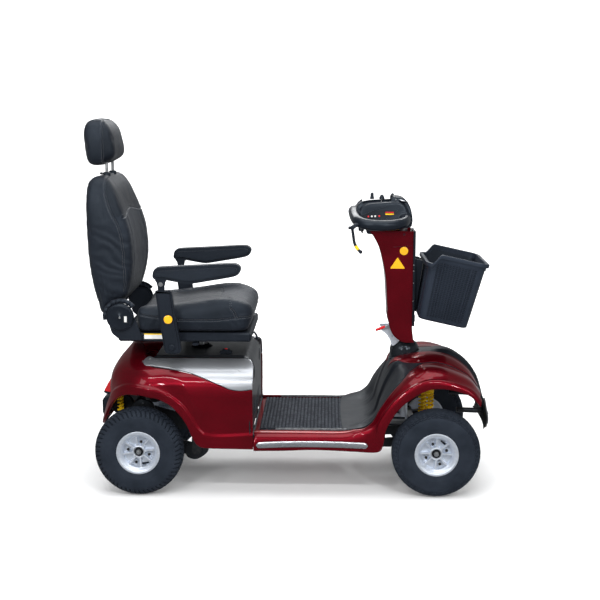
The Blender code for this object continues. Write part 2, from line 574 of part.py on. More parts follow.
# Basket ------------------------------------------------------------------------------------------
bm = bmesh.new()
base = [bm.verts.new((x, y, 0.0)) for x, y in rounded([(-0.0937, -0.152), (0.0937, -0.152), (0.0937, 0.152),
                                                     (-0.0937, 0.152)], 0.026, 2)]
floor = bm.faces.new(base)
moved = bmesh.ops.extrude_edge_only(bm, edges=bm.edges[:])
for vert in [v for v in moved["geom"] if isinstance(v, bmesh.types.BMVert)]:
    vert.co.x *= 1.155
    vert.co.y *= 1.118
    vert.co.z = 0.257
sides = [f for f in bm.faces if f is not floor]
bmesh.ops.bisect_plane(bm, geom=bm.faces[:] + bm.edges[:] + bm.verts[:], plane_co=(-0.048, 0, 0), plane_no=(1, 0, 0))
bmesh.ops.bisect_plane(bm, geom=bm.faces[:] + bm.edges[:] + bm.verts[:], plane_co=(-0.082, 0, 0), plane_no=(1, 0, 0))
for vert in bm.verts:
    if vert.co.z > 0.2 and vert.co.x < -0.08:
        vert.co.z = 0.218
bmesh.ops.recalc_face_normals(bm, faces=bm.faces)
bmesh.ops.transform(bm, matrix=Matrix.Translation(BASKET_BASE) @ Matrix.Rotation(BASKET_TILT, 4, "Y"), verts=bm.verts)
tub = bpy.data.meshes.new("tub")
bm.to_mesh(tub)
bm.free()


def walls(obj):
    mod = obj.modifiers.new("Solidify", "SOLIDIFY")
    mod.thickness = 0.0035
    mod.offset = -1.0
    mod.use_even_offset = False


finish("basket", evaluated(tub, walls), "black")

# Seat --------------------------------------------------------------------------------------------
SEAT_POST = [(0.0, 0.4105), (0.0220, 0.4105), (0.0220, 0.5420), (0.0550, 0.5420), (0.0550, 0.5470), (0.0, 0.5470)]
finish("seat_post", lathe(SEAT_POST, 20, (POST_X, 0, 0), "Z"), "steel")
plate_rails = [box((-0.430, side * 0.110 - 0.012, 0.5476), (-0.260, side * 0.110 + 0.012, 0.5664)) for side in (-1, 1)]
finish("swivel_plate", union(box((-0.405, -0.115, 0.5476), (-0.285, 0.115, 0.5550)), *plate_rails), "frame")
finish("swivel_lever", union(rod((-0.345, -0.1246, 0.556), (-0.345, -0.195, 0.556), 0.0050, 8),
                             box((-0.357, -0.215, 0.5500), (-0.333, -0.185, 0.5620), 0.003)), "black")
pan = box((-0.632, -0.225, 0.5672), (-0.137, 0.225, 0.6000), 0.006)
brackets = [plate(rounded([(-0.655, 0.600), (-0.665, 0.640), (-0.650, 0.700), (-0.595, 0.700), (-0.560, 0.640),
                           (-0.540, 0.575), (-0.625, 0.575)], 0.010), side * 0.2310 - 0.0030,
                  side * 0.2310 + 0.0030) for side in (-1, 1)]
feet = [box((-0.625, min(side * 0.2200, side * 0.2330), 0.575), (-0.545, max(side * 0.2200, side * 0.2330), 0.595))
        for side in (-1, 1)]
pan = union(pan, *feet, *brackets)
for side in (-1, 1):
    pan = cut(pan, rod((-0.425, side * 0.055, 0.5835), (-0.425, side * 0.30, 0.5835), 0.0106, 12))
finish("seat_pan", pan, "black")
finish("slide_lever", tube([(-0.1350, -0.1500, 0.5880), (-0.1280, -0.1500, 0.5900), (-0.1200, -0.1500, 0.5780),
                            (-0.1170, -0.1500, 0.5600)], 0.0045, resolution=1), "black")


def cushion(outline, half, bevel=0.022, segments=2):
    return plate(outline, -half, half, bevel=bevel, segments=segments)


SEAT = rounded([(-0.560, 0.6006), (-0.150, 0.6006), (-0.136, 0.640), (-0.128, 0.682), (-0.150, 0.712), (-0.205, 0.729),
                (-0.280, 0.727), (-0.380, 0.710), (-0.470, 0.695), (-0.560, 0.686)], 0.020)
finish("seat_cushion", cushion(SEAT, 0.240), "leather")
BACKREST = rounded([(-0.709, 0.6640), (-0.682, 0.6640), (-0.632, 0.7160), (-0.600, 0.735), (-0.586, 0.790), (-0.570, 0.842),
                    (-0.572, 0.912), (-0.584, 0.990), (-0.609, 1.064), (-0.636, 1.136), (-0.662, 1.178),
                    (-0.712, 1.184), (-0.742, 1.166), (-0.751, 1.120), (-0.750, 0.975), (-0.744, 0.877),
                    (-0.725, 0.778), (-0.709, 0.709)], 0.012, 1)
TUBE = [(-0.6900, 0.060, 1.060), (-0.6900, 0.060, 1.2900), (-0.6900, -0.060, 1.2900), (-0.6900, -0.060, 1.060)]
BORES = [rod((-0.6900, y, 1.050), (-0.6900, y, 1.250), 0.0071, 10) for y in (-0.060, 0.060)]
backrest = cut(cushion(BACKREST, 0.2265), *BORES)
for side in (-1, 1):
    backrest = union(backrest, rod((-0.621, side * 0.2268, 0.662), (-0.621, side * 0.1800, 0.662), 0.020, 12),
                     box((-0.700, side * 0.190 - 0.010, 0.655), (-0.618, side * 0.190 + 0.010, 0.685)))
finish("backrest", backrest, "leather")
HEAD = rounded([(-0.773, 1.335), (-0.768, 1.375), (-0.745, 1.390), (-0.700, 1.390), (-0.668, 1.365), (-0.654, 1.323),
                (-0.645, 1.268), (-0.652, 1.240), (-0.708, 1.211), (-0.750, 1.213), (-0.764, 1.260)], 0.010, 1)
finish("headrest", cut(cushion(HEAD, 0.130), tube(TUBE, 0.0073, resolution=1)), "leather")
finish("headrest_posts", tube(TUBE, 0.0060, resolution=1), "steel")
DISC = [(0.0, 0.2346), (0.052, 0.2346), (0.052, 0.2450), (0.046, 0.2520), (0.0, 0.2520)]
finish("recliner_cover_left", lathe(DISC, 20, (-0.621, 0, 0.662)), "black")
finish("recliner_cover_right", lathe([(r, -y) for r, y in DISC], 20, (-0.621, 0, 0.662)), "black")

POST_ARM = rounded([(-0.480, 0.7690), (-0.422, 0.7690), (-0.404, 0.650), (-0.388, 0.556), (-0.395, 0.536),
                    (-0.445, 0.534), (-0.452, 0.556), (-0.466, 0.650)], 0.008)
arm = union(plate(POST_ARM, -0.3020, -0.2670, bevel=0.004),
            plate(rounded([(-0.470, 0.760), (-0.448, 0.760), (-0.446, 0.802), (-0.459, 0.807), (-0.472, 0.802)], 0.004),
                  -0.2900, -0.2800),
            rod((-0.425, -0.2700, 0.5835), (-0.425, -0.0800, 0.5835), 0.0100, 12))
arm = cut(arm, rod((ARM_PIVOT[0], -0.30, 0.794), (ARM_PIVOT[0], -0.27, 0.794), 0.0036, 8))
pair("arm_post", arm, "black")
PAD = rounded([(-0.486, 0.815), (-0.484, 0.845), (-0.463, 0.857), (-0.197, 0.871), (-0.172, 0.866), (-0.166, 0.849),
               (-0.180, 0.825), (-0.355, 0.794), (-0.442, 0.808), (-0.476, 0.8085)], 0.008)
CHEEK = rounded([(-0.470, 0.783), (-0.448, 0.783), (-0.436, 0.815), (-0.478, 0.815)], 0.006)
rest = union(plate(PAD, -0.3160, -0.2540, bevel=0.008), plate(CHEEK, -0.2980, -0.2906), plate(CHEEK, -0.2794, -0.2720),
             rod((ARM_PIVOT[0], -0.2960, 0.794), (ARM_PIVOT[0], -0.2740, 0.794), 0.0030, 8))
pair("armrest", rest, "black")

# Every piece that moves has its origin on its joint's axis ------------------------------------------
PIVOTS = {
    "steering_column": (STEER_X, 0, 0.5), "tie_rod": (HALF_BASE - PITMAN, -KINGPIN_Y, 0.205),
    "knuckle_left": (HALF_BASE, KINGPIN_Y, AXLE_Z), "knuckle_right": (HALF_BASE, -KINGPIN_Y, AXLE_Z),
    "rear_swing_arm": REAR_PIVOT, "transaxle": REAR_PIVOT, "front_axle_beam": FRONT_PIVOT,
    "tiller_post": TILT_PIVOT, "tiller_cover": TILT_PIVOT, "tiller_front_cover": TILT_PIVOT, "console": TILT_PIVOT,
    "tilt_lever": (0.386, -0.0458, 0.596), "speed_dial": (0.325, 0, 1.0456), "ignition_key": (0.350, -0.045, 1.0456),
    "horn_button": (0.290, 0.045, 1.046), "throttle_lever": (0.276, 0, 0.97), "brake_lever": (0.238, -0.198, 0.985),
    "basket": BASKET_BASE, "seat_post": (POST_X, 0, 0.52), "swivel_plate": (POST_X, 0, 0.5476),
    "seat_pan": (POST_X, 0, 0.5672), "seat_cushion": (POST_X, 0, 0.6006), "backrest": RECLINE_PIVOT,
    "headrest": (-0.69, 0, 1.25), "headrest_posts": (-0.69, 0, 1.25), "swivel_lever": (-0.345, -0.1246, 0.556),
    "slide_lever": (-0.1350, -0.15, 0.588), "arm_post_left": (-0.425, 0.18, 0.5835),
    "arm_post_right": (-0.425, -0.18, 0.5835), "armrest_left": (ARM_PIVOT[0], ARM_Y, ARM_PIVOT[1]),
    "armrest_right": (ARM_PIVOT[0], -ARM_Y, ARM_PIVOT[1]),
    "recliner_cover_left": RECLINE_PIVOT, "recliner_cover_right": RECLINE_PIVOT,
}
for end, x in (("rear", -HALF_BASE), ("front", HALF_BASE)):
    for side, y in (("left", TRACK_Y), ("right", -TRACK_Y)):
        PIVOTS["tyre_" + end + "_" + side] = (x, y, AXLE_Z)
        PIVOTS["rim_" + end + "_" + side] = (x, y, AXLE_Z)
for name, pivot in PIVOTS.items():
    obj = bpy.data.objects[name]
    obj.data.transform(Matrix.Translation(-Vector(pivot)))
    obj.location = pivot
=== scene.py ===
"""Looks of the mobility scooter on its CAD frame. Metres, +X forward, +Y left, +Z up."""

import math

import bmesh
import bpy
import numpy as np
from mathutils import Matrix, Vector, noise
from mathutils.bvhtree import BVHTree
from mathutils.kdtree import KDTree


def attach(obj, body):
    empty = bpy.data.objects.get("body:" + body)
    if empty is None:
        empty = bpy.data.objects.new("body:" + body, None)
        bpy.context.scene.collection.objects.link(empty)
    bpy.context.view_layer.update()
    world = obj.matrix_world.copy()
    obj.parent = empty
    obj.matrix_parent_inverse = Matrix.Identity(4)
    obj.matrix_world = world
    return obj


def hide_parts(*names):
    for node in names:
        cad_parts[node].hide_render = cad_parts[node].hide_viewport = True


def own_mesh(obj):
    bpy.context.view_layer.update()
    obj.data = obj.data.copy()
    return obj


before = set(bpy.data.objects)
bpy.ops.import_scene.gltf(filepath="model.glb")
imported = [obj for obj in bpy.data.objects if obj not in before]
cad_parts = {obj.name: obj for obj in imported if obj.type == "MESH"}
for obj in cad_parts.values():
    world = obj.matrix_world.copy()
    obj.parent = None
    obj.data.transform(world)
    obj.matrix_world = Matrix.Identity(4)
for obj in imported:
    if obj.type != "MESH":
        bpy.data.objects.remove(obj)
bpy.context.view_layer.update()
PI = math.pi
HALF_BASE = 0.552    # half the wheelbase
TRACK = 0.28        # middle of a wheel from the middle plane
AXLE_Z = 0.165
TYRE_RADIUS = 0.165
STEER_X = 0.448      # steering column
POST_X = -0.345      # seat post
RECLINER = (-0.621, 0, 0.662)
SIDES = (("right", -1), ("left", 1))
UPRIGHT = (0, 0, 1)


# Materials ---------------------------------------------------------------------------------------
class Look:
    """A Principled material under construction."""

    def __init__(self, name, color, rough=0.5, metal=0.0, **sockets):
        self.mat = bpy.data.materials.new(name)
        self.mat.use_nodes = True
        self.tree = self.mat.node_tree
        self.shader = self.tree.nodes["Principled BSDF"]
        self.set("Base Color", (*color, 1.0))
        self.set("Roughness", rough)
        self.set("Metallic", metal)
        for key, value in sockets.items():
            self.set(key.replace("_", " "), value)
        self.coord = self.node("ShaderNodeTexCoord").outputs["Object"]
        self.normal = None

    def set(self, key, value):
        self.shader.inputs[key].default_value = value

    def node(self, kind, inputs=None, **settings):
        made = self.tree.nodes.new(kind)
        for key, value in settings.items():
            setattr(made, key, value)
        for key, value in (inputs or {}).items():
            if isinstance(value, bpy.types.NodeSocket):
                self.tree.links.new(value, made.inputs[key])
            else:
                made.inputs[key].default_value = value
        return made

    def link(self, source, key):
        self.tree.links.new(source, self.shader.inputs[key])

    def scaled(self, scale):
        return self.node("ShaderNodeMapping", {"Vector": self.coord, "Scale": scale}).outputs["Vector"]

    def noise(self, scale, detail=3.0, rough=0.55, vector=None):
        return self.node("ShaderNodeTexNoise", {"Vector": vector or self.coord, "Scale": scale,
                                                "Detail": detail, "Roughness": rough}).outputs["Fac"]

    def cells(self, scale, feature="F1", vector=None, output="Distance"):
        return self.node("ShaderNodeTexVoronoi", {"Vector": vector or self.coord, "Scale": scale},
                         feature=feature).outputs[output]

    def ramp(self, fac, *stops):
        made = self.node("ShaderNodeValToRGB", {"Fac": fac})
        ramp = made.color_ramp
        while len(ramp.elements) < len(stops):
            ramp.elements.new(0.5)
        for spot, (where, color) in zip(ramp.elements, stops):
            spot.position = where
            spot.color = (*color, 1.0) if len(color) == 3 else color
        return made.outputs["Color"]

    def map(self, fac, low, high, start=0.0, end=1.0):
        return self.node("ShaderNodeMapRange", {"Value": fac, "From Min": start, "From Max": end,
                                                "To Min": low, "To Max": high}).outputs["Result"]

    def bump(self, height, strength, distance=0.001):
        inputs = {"Height": height, "Strength": strength, "Distance": distance}
        if self.normal is not None:
            inputs["Normal"] = self.normal
        self.normal = self.node("ShaderNodeBump", inputs).outputs["Normal"]
        self.link(self.normal, "Normal")

    def math(self, kind, a, b):
        return self.node("ShaderNodeMath", {0: a, 1: b}, operation=kind).outputs["Value"]

    def worn_edges(self, color_socket, edge, low=0.56, high=0.72):
        """Lighter, rubbed finish where the surface is most convex."""
        point = self.node("ShaderNodeNewGeometry").outputs["Pointiness"]
        fac = self.map(point, 0.0, 0.5, low, high)
        speck = self.map(self.noise(90.0, 4.0), 0.0, 1.0, 0.42, 0.62)
        mixed = self.node("ShaderNodeMix", {"Factor": self.math("MULTIPLY", fac, speck)}, data_type="RGBA")
        self.tree.links.new(color_socket, mixed.inputs["A"])
        mixed.inputs["B"].default_value = (*edge, 1.0)
        return mixed.outputs["Result"]


COOL = (0.74, 0.87, 1.0, 1.0)


def candy(name, dark, bright, metal=0.62, tint=(1.0, 1.0, 1.0, 1.0)):
    """Metallic flake paint under a clear coat."""
    look = Look(name, bright, 0.3, metal, Coat_Weight=0.9, Coat_Roughness=0.03, Coat_IOR=1.24,
                Specular_IOR_Level=0.2, Specular_Tint=tint)
    tone = look.noise(5.0, 2.0)
    flake = look.cells(2600.0, output="Color")
    grain = look.node("ShaderNodeSeparateColor", {"Color": flake}).outputs["Red"]
    base = look.ramp(look.math("ADD", look.math("MULTIPLY", tone, 0.55),
                               look.math("MULTIPLY", grain, 0.45)), (0.25, dark), (0.8, bright))
    look.link(base, "Base Color")
    look.link(look.map(look.noise(14.0), 0.26, 0.38), "Roughness")
    look.bump(look.noise(420.0, 1.0), 0.015, 0.0006)
    look.bump(flake, 0.035, 0.0002)
    return look.mat


def moulded(name, color, rough=0.46, grain=1400.0, depth=0.22, worn=(0.05, 0.053, 0.058), **sockets):
    """Grained black plastic with a little dust and rubbed edges."""
    look = Look(name, color, rough, 0.0, Specular_IOR_Level=0.24, Specular_Tint=COOL, **sockets)
    dust = look.ramp(look.noise(7.0, 4.0), (0.35, color), (0.75, tuple(c * 1.45 + 0.002 for c in color)))
    look.link(look.worn_edges(dust, worn), "Base Color")
    look.link(look.map(look.noise(22.0, 4.0), rough - 0.07, rough + 0.08), "Roughness")
    look.bump(look.cells(grain, "SMOOTH_F1"), depth, 0.0003)
    look.bump(look.noise(60.0, 3.0), 0.05, 0.0008)
    return look.mat


def leather(name, color, rough=0.47):
    """Coated upholstery: pebbled grain with creases and a soft wear sheen."""
    look = Look(name, color, rough, 0.0, Sheen_Weight=0.03, Sheen_Roughness=0.45, Specular_IOR_Level=0.24,
                Specular_Tint=COOL)
    shade = look.ramp(look.noise(9.0, 5.0), (0.3, tuple(c * 0.82 for c in color)),
                      (0.74, tuple(c * 1.22 for c in color)))
    look.link(look.worn_edges(shade, tuple(c * 1.5 + 0.006 for c in color)), "Base Color")
    look.link(look.map(look.noise(26.0, 4.0), rough - 0.08, rough + 0.08), "Roughness")
    cell = look.cells(560.0, "DISTANCE_TO_EDGE")
    look.bump(look.map(cell, 0.0, 1.0, 0.0, 0.1), 0.36, 0.0004)
    look.bump(look.noise(48.0, 5.0, 0.65), 0.2, 0.0016)
    return look.mat


def rubber(name, color, rough=0.78, grain=700.0):
    look = Look(name, color, rough, 0.0, Specular_IOR_Level=0.16, Specular_Tint=COOL)
    dust = look.ramp(look.noise(12.0, 5.0), (0.32, color), (0.78, tuple(c * 1.7 + 0.004 for c in color)))
    look.link(look.worn_edges(dust, tuple(c * 4 + 0.03 for c in color), 0.515, 0.6), "Base Color")
    look.link(look.map(look.noise(30.0, 3.0), rough - 0.12, rough + 0.08), "Roughness")
    look.bump(look.noise(grain, 3.0), 0.16, 0.0004)
    return look.mat


def metal(name, color, rough=0.3, weight=1.0, grain=300.0, depth=0.06, stretch=(1, 1, 1), **sockets):
    """Bare or plated metal with fine scratches."""
    look = Look(name, color, rough, weight, **sockets)
    scratch = look.noise(grain, 4.0, 0.7, look.scaled(stretch))
    look.link(look.ramp(scratch, (0.3, tuple(c * 0.82 for c in color)), (0.7, color)), "Base Color")
    look.link(look.map(scratch, rough - 0.08, rough + 0.1), "Roughness")
    look.bump(scratch, depth, 0.0004)
    return look.mat


def lens(name, color):
    """Prismatic reflector under a smooth face, with a faint painted glow."""
    look = Look(name, color, 0.12, 0.0, Coat_Weight=1.0, Coat_Roughness=0.03)
    prism = look.cells(420.0, "DISTANCE_TO_EDGE")
    look.link(look.ramp(prism, (0.0, tuple(c * 0.78 for c in color)), (0.35, color)), "Base Color")
    look.bump(prism, 0.35, 0.0006)
    # A faint emission paints a glow on the face, though the part is no lamp.
    look.set("Emission Color", (*color, 1.0))
    look.set("Emission Strength", 0.12)
    return look.mat


RED = candy("candy_red", (0.05, 0.0005, 0.0026), (0.185, 0.002, 0.0095), tint=(1.0, 0.2, 0.26, 1.0))
SILVER = candy("silver_paint", (0.25, 0.26, 0.28), (0.43, 0.45, 0.48), 0.8)
BLACK = moulded("black_plastic", (0.0058, 0.0076, 0.012), worn=(0.026, 0.028, 0.032))
DECK = moulded("deck_plastic", (0.0105, 0.0115, 0.0135), 0.3, 900.0, 0.05)
COWL = moulded("cowl_plastic", (0.0032, 0.004, 0.006), 0.46, 1900.0, 0.14, (0.02, 0.021, 0.024))
GLOSS = moulded("gloss_plastic", (0.01, 0.0115, 0.014), 0.16, 300.0, 0.02)
SATIN = moulded("satin_plastic", (0.0056, 0.0074, 0.0112), 0.3, 900.0, 0.05, (0.024, 0.026, 0.03))
BASKET = moulded("basket_plastic", (0.0125, 0.0165, 0.0255), 0.42, 1100.0, 0.12)
FRAME = moulded("frame_paint", (0.011, 0.011, 0.012), 0.34, 500.0, 0.04, (0.12, 0.1, 0.09))
LEATHER = leather("seat_leather", (0.0088, 0.0114, 0.017))
PANEL = leather("seat_panel_leather", (0.0042, 0.0056, 0.0092), 0.52)
TYRE = rubber("tyre_rubber", (0.0098, 0.0128, 0.019), 0.66)
MAT = rubber("mat_rubber", (0.009, 0.0105, 0.0145), 0.8, 900.0)
STRIP = rubber("strip_rubber", (0.056, 0.058, 0.062), 0.62)
CAST = metal("cast_aluminium", (0.74, 0.79, 0.87), 0.44, 0.8, 120.0, 0.12)
TRIM = metal("trim_aluminium", (0.62, 0.64, 0.68), 0.27, 1.0, 260.0, 0.04, (0.05, 1, 1))
CHROME = metal("chrome", (0.78, 0.79, 0.8), 0.13, 1.0, 200.0, 0.015)
STEEL = metal("steel", (0.46, 0.47, 0.48), 0.3, 1.0, 320.0, 0.08)
YELLOW = moulded("spring_yellow", (0.72, 0.46, 0.006), 0.36, 500.0, 0.05, (0.8, 0.62, 0.1))
AMBER = lens("amber_reflector", (0.95, 0.46, 0.006))
CLEAR = lens("clear_lens", (0.34, 0.37, 0.4))
MARK_RED = moulded("mark_red", (0.5, 0.01, 0.012), 0.4, 500.0, 0.04)
MARK_WHITE = moulded("mark_white", (0.62, 0.62, 0.6), 0.45, 500.0, 0.04, (0.7, 0.7, 0.7))
CASE = moulded("battery_case", (0.03, 0.031, 0.035), 0.6)


# Shapes ------------------------------------------------------------------------------------------
def show(name, mesh, mat, body, replace=(), smooth=True, angle=40, bevel=0.0, subdivide=0, slot=None,
         even=False):
    """Make a piece from a mesh: smooth shading, optional bevel and subdivision, riding on its body."""
    obj = placed(name, mesh)
    mesh.materials.clear()
    mesh.materials.append(mat)
    if smooth:
        for face in mesh.polygons:
            face.use_smooth = True
        mesh.set_sharp_from_angle(angle=math.radians(angle))
    if bevel:
        mod = obj.modifiers.new("Bevel", "BEVEL")
        mod.width = bevel
        mod.segments = 2
        mod.limit_method = "ANGLE"
        mod.angle_limit = math.radians(32)
        mod.harden_normals = True
    if subdivide:
        mod = obj.modifiers.new("Subdivision", "SUBSURF")
        mod.levels = subdivide
        mod.render_levels = subdivide
    if even:
        obj.modifiers.new("Weighted", "WEIGHTED_NORMAL").keep_sharp = True
    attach(obj, body)
    nodes = [replace] if isinstance(replace, str) else list(replace)
    if nodes:
        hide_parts(*nodes)
    return obj


def placed(name, data):
    """A new object in the scene."""
    obj = bpy.data.objects.new(name, data)
    bpy.context.scene.collection.objects.link(obj)
    return obj


def done(bm, recalc=True):
    if recalc:
        bmesh.ops.recalc_face_normals(bm, faces=bm.faces)
    mesh = bpy.data.meshes.new("shape")
    bm.to_mesh(mesh)
    bm.free()
    return mesh


def sheet(points, close_u=False, close_v=False):
    """Quad mesh from an array of points [u, v, 3]."""
    points = np.asarray(points, float)
    nu, nv = points.shape[:2]
    index = np.arange(nu * nv).reshape(nu, nv)
    a = index if close_u else index[:-1]
    b = np.roll(index, -1, 0) if close_u else index[1:]
    if close_v:
        quads = np.stack([a, b, np.roll(b, -1, 1), np.roll(a, -1, 1)], -1)
    else:
        quads = np.stack([a[:, :-1], b[:, :-1], b[:, 1:], a[:, 1:]], -1)
    mesh = bpy.data.meshes.new("sheet")
    mesh.from_pydata(points.reshape(-1, 3).tolist(), [], quads.reshape(-1, 4).tolist())
    mesh.validate()
    return mesh


def thick(mesh, thickness, offset=-1.0, rim_bevel=0.0):
    """The mesh given a thickness."""
    obj = placed("work", mesh)
    mod = obj.modifiers.new("Solidify", "SOLIDIFY")
    mod.thickness = thickness
    mod.offset = offset
    mod.use_even_offset = False
    if rim_bevel:
        mod = obj.modifiers.new("Bevel", "BEVEL")
        mod.width = rim_bevel
        mod.segments = 2
        mod.limit_method = "ANGLE"
        mod.angle_limit = math.radians(50)
    return baked(obj)


def baked(obj):
    graph = bpy.context.evaluated_depsgraph_get()
    mesh = bpy.data.meshes.new_from_object(obj.evaluated_get(graph))
    bpy.data.objects.remove(obj, do_unlink=True)
    return mesh


def solid_cut(mesh, *tools):
    """Exact Boolean difference."""
    for tool in tools:
        cutter = placed("tool", tool)
        work = placed("work", mesh)
        boolean = work.modifiers.new("Boolean", "BOOLEAN")
        boolean.solver = "EXACT"
        boolean.operation = "DIFFERENCE"
        boolean.object = cutter
        mesh = baked(work)
        bpy.data.objects.remove(cutter, do_unlink=True)
    return mesh


def outward(mesh, center=None):
    """Turn the faces of an open sheet away from its middle."""
    bm = bmesh.new()
    bm.from_mesh(mesh)
    bmesh.ops.recalc_face_normals(bm, faces=bm.faces)
    middle = Vector(center or (0, 0, 0))
    if center is None:
        middle = sum((v.co for v in bm.verts), Vector()) / len(bm.verts)
    if sum(f.normal.dot(f.calc_center_median() - middle) * f.calc_area() for f in bm.faces) < 0:
        bmesh.ops.reverse_faces(bm, faces=bm.faces)
    bm.to_mesh(mesh)
    bm.free()
    return mesh


def box(low, high, bevel=0.0, segments=2):
    bm = bmesh.new()
    bmesh.ops.create_cube(bm, size=1.0)
    bmesh.ops.scale(bm, vec=Vector(high) - Vector(low), verts=bm.verts)
    bmesh.ops.translate(bm, vec=(Vector(high) + Vector(low)) / 2, verts=bm.verts)
    if bevel:
        bmesh.ops.bevel(bm, geom=bm.edges[:], offset=bevel, segments=segments, affect="EDGES")
    return done(bm)


def plate(points, low, high, axis="Y", bevel=0.0, segments=2):
    """Flat outline extruded along an axis, its rims rounded."""
    order = {"X": (2, 0, 1), "Y": (0, 2, 1), "Z": (0, 1, 2)}[axis]

    def spot(*abc):
        return tuple(abc[k] for k in order)

    bm = bmesh.new()
    face = bm.faces.new([bm.verts.new(spot(a, b, low)) for a, b in points])
    moved = bmesh.ops.extrude_face_region(bm, geom=[face])
    tops = [v for v in moved["geom"] if isinstance(v, bmesh.types.BMVert)]
    bmesh.ops.translate(bm, vec=Vector(spot(0, 0, high)) - Vector(spot(0, 0, low)), verts=tops)
    if bevel:
        index = {"X": 0, "Y": 1, "Z": 2}[axis]
        rims = [e for e in bm.edges if abs(e.verts[0].co[index] - e.verts[1].co[index]) < 1e-9]
        bmesh.ops.bevel(bm, geom=rims, offset=bevel, segments=segments, affect="EDGES")
    return done(bm)


def lathe(profile, segments, center=(0, 0, 0), axis=(0, 1, 0), closed=False):
    """Profile of (radius, height) turned about an axis."""
    profile = np.array(profile, float)
    turn = np.linspace(0, 2 * PI, segments, endpoint=False)
    ring = np.stack([np.cos(turn), np.sin(turn)], -1)
    points = np.zeros((segments, len(profile), 3))
    points[..., 0] = ring[:, None, 0] * profile[None, :, 0]
    points[..., 1] = ring[:, None, 1] * profile[None, :, 0]
    points[..., 2] = profile[None, :, 1]
    mesh = sheet(points, close_u=True, close_v=closed)
    bm = bmesh.new()
    bm.from_mesh(mesh)
    bmesh.ops.remove_doubles(bm, verts=bm.verts, dist=1e-6)
    turned = Vector((0, 0, 1)).rotation_difference(Vector(axis)).to_matrix().to_4x4()
    bmesh.ops.transform(bm, matrix=Matrix.Translation(center) @ turned, verts=bm.verts)
    return done(bm)


def tube(points, radius, sides=14, closed=False, smooth=0, taper=None):
    """Round bar along a path; smooth adds points of a Catmull-Rom curve between those given."""
    path = np.array(points, float)
    if smooth:
        path = spline(path, smooth, closed)
    count = len(path)
    if closed:
        along = np.roll(path, -1, 0) - np.roll(path, 1, 0)
    else:
        along = np.gradient(path, axis=0)
    along /= np.linalg.norm(along, axis=1)[:, None]
    side = np.cross(along[0], (0.0, 0.0, 1.0))
    if np.linalg.norm(side) < 0.1:
        side = np.cross(along[0], (0.0, 1.0, 0.0))
    rows = []
    angle = np.linspace(0, 2 * PI, sides, endpoint=False)
    for i in range(count):
        side = side - along[i] * side.dot(along[i])
        side /= np.linalg.norm(side)
        up = np.cross(side, along[i])
        size = radius if taper is None else radius * taper(i / (count - 1))
        rows.append(path[i] + size * (np.cos(angle)[:, None] * side + np.sin(angle)[:, None] * up))
    mesh = sheet(rows, close_u=closed, close_v=True)
    bm = bmesh.new()
    bm.from_mesh(mesh)
    if not closed:
        bm.verts.ensure_lookup_table()
        bm.faces.new([bm.verts[k] for k in range(sides)])
        bm.faces.new([bm.verts[(count - 1) * sides + k] for k in range(sides)][::-1])
    return done(bm)


def spline(path, steps, closed=False):
    """Catmull-Rom curve through points, with so many steps between each two."""
    path = np.asarray(path, float)
    count = len(path)
    spans = count if closed else count - 1
    result = []
    for i in range(spans):
        if closed:
            a, b, c, d = (path[(i + k) % count] for k in (-1, 0, 1, 2))
        else:
            b, c = path[i], path[i + 1]
            a = path[i - 1] if i else 2 * b - c
            d = path[i + 2] if i + 2 < count else 2 * c - b
        for k in range(steps):
            t = k / steps
            result.append(0.5 * (2 * b + (c - a) * t + (2 * a - 5 * b + 4 * c - d) * t * t
                                 + (3 * b - a - 3 * c + d) * t ** 3))
    if not closed:
        result.append(path[-1])
    return np.array(result)


def joined(*meshes):
    bm = bmesh.new()
    for mesh in meshes:
        bm.from_mesh(mesh)
    return done(bm, recalc=False)


def flipped(mesh):
    """Mirror image across the middle plane."""
    bm = bmesh.new()
    bm.from_mesh(mesh)
    bmesh.ops.scale(bm, vec=(1, -1, 1), verts=bm.verts)
    bmesh.ops.reverse_faces(bm, faces=bm.faces)
    return done(bm, recalc=False)


def both(name, mesh, mat, body, replace=None, **more):
    """A right-hand piece and its mirror image; {} in the names takes the side."""
    for side, shape in (("left", flipped(mesh)), ("right", mesh)):
        show(name + "_" + side, shape, mat, body.format(side), replace.format(side) if replace else (),
             **more)


def moved(mesh, matrix):
    copy = mesh.copy()
    copy.transform(matrix)
    return copy


def mirrored(points):
    return [(x, -y, z) for x, y, z in points]


def span(sign, near, far):
    """The two distances on one side of the middle plane, the lower first."""
    return sorted((sign * near, sign * far))


def side_box(sign, xs, ys, zs, bevel):
    """Box on one side, its ys measured outward."""
    low, high = span(sign, *ys)
    return box((xs[0], low, zs[0]), (xs[1], high, zs[1]), bevel)


def table(xs, ys):
    """Smooth monotone curve through points, as a function."""
    xs = np.array(xs, float)
    ys = np.array(ys, float)
    if xs[0] > xs[-1]:
        xs, ys = xs[::-1], ys[::-1]
    slope = np.diff(ys) / np.diff(xs)
    tangent = np.zeros(len(xs))
    tangent[0], tangent[-1] = slope[0], slope[-1]
    for i in range(1, len(xs) - 1):
        if slope[i - 1] * slope[i] > 0:
            tangent[i] = 2 * slope[i - 1] * slope[i] / (slope[i - 1] + slope[i])

    def value(x):
        x = np.clip(np.asarray(x, float), xs[0], xs[-1])
        i = np.clip(np.searchsorted(xs, x) - 1, 0, len(xs) - 2)
        h = xs[i + 1] - xs[i]
        t = (x - xs[i]) / h
        return ((2 * t ** 3 - 3 * t ** 2 + 1) * ys[i] + (t ** 3 - 2 * t ** 2 + t) * h * tangent[i]
                + (3 * t ** 2 - 2 * t ** 3) * ys[i + 1] + (t ** 3 - t ** 2) * h * tangent[i + 1])

    return value


def step(value, low, high):
    t = np.clip((np.asarray(value, float) - low) / (high - low), 0, 1)
    return t * t * (3 - 2 * t)


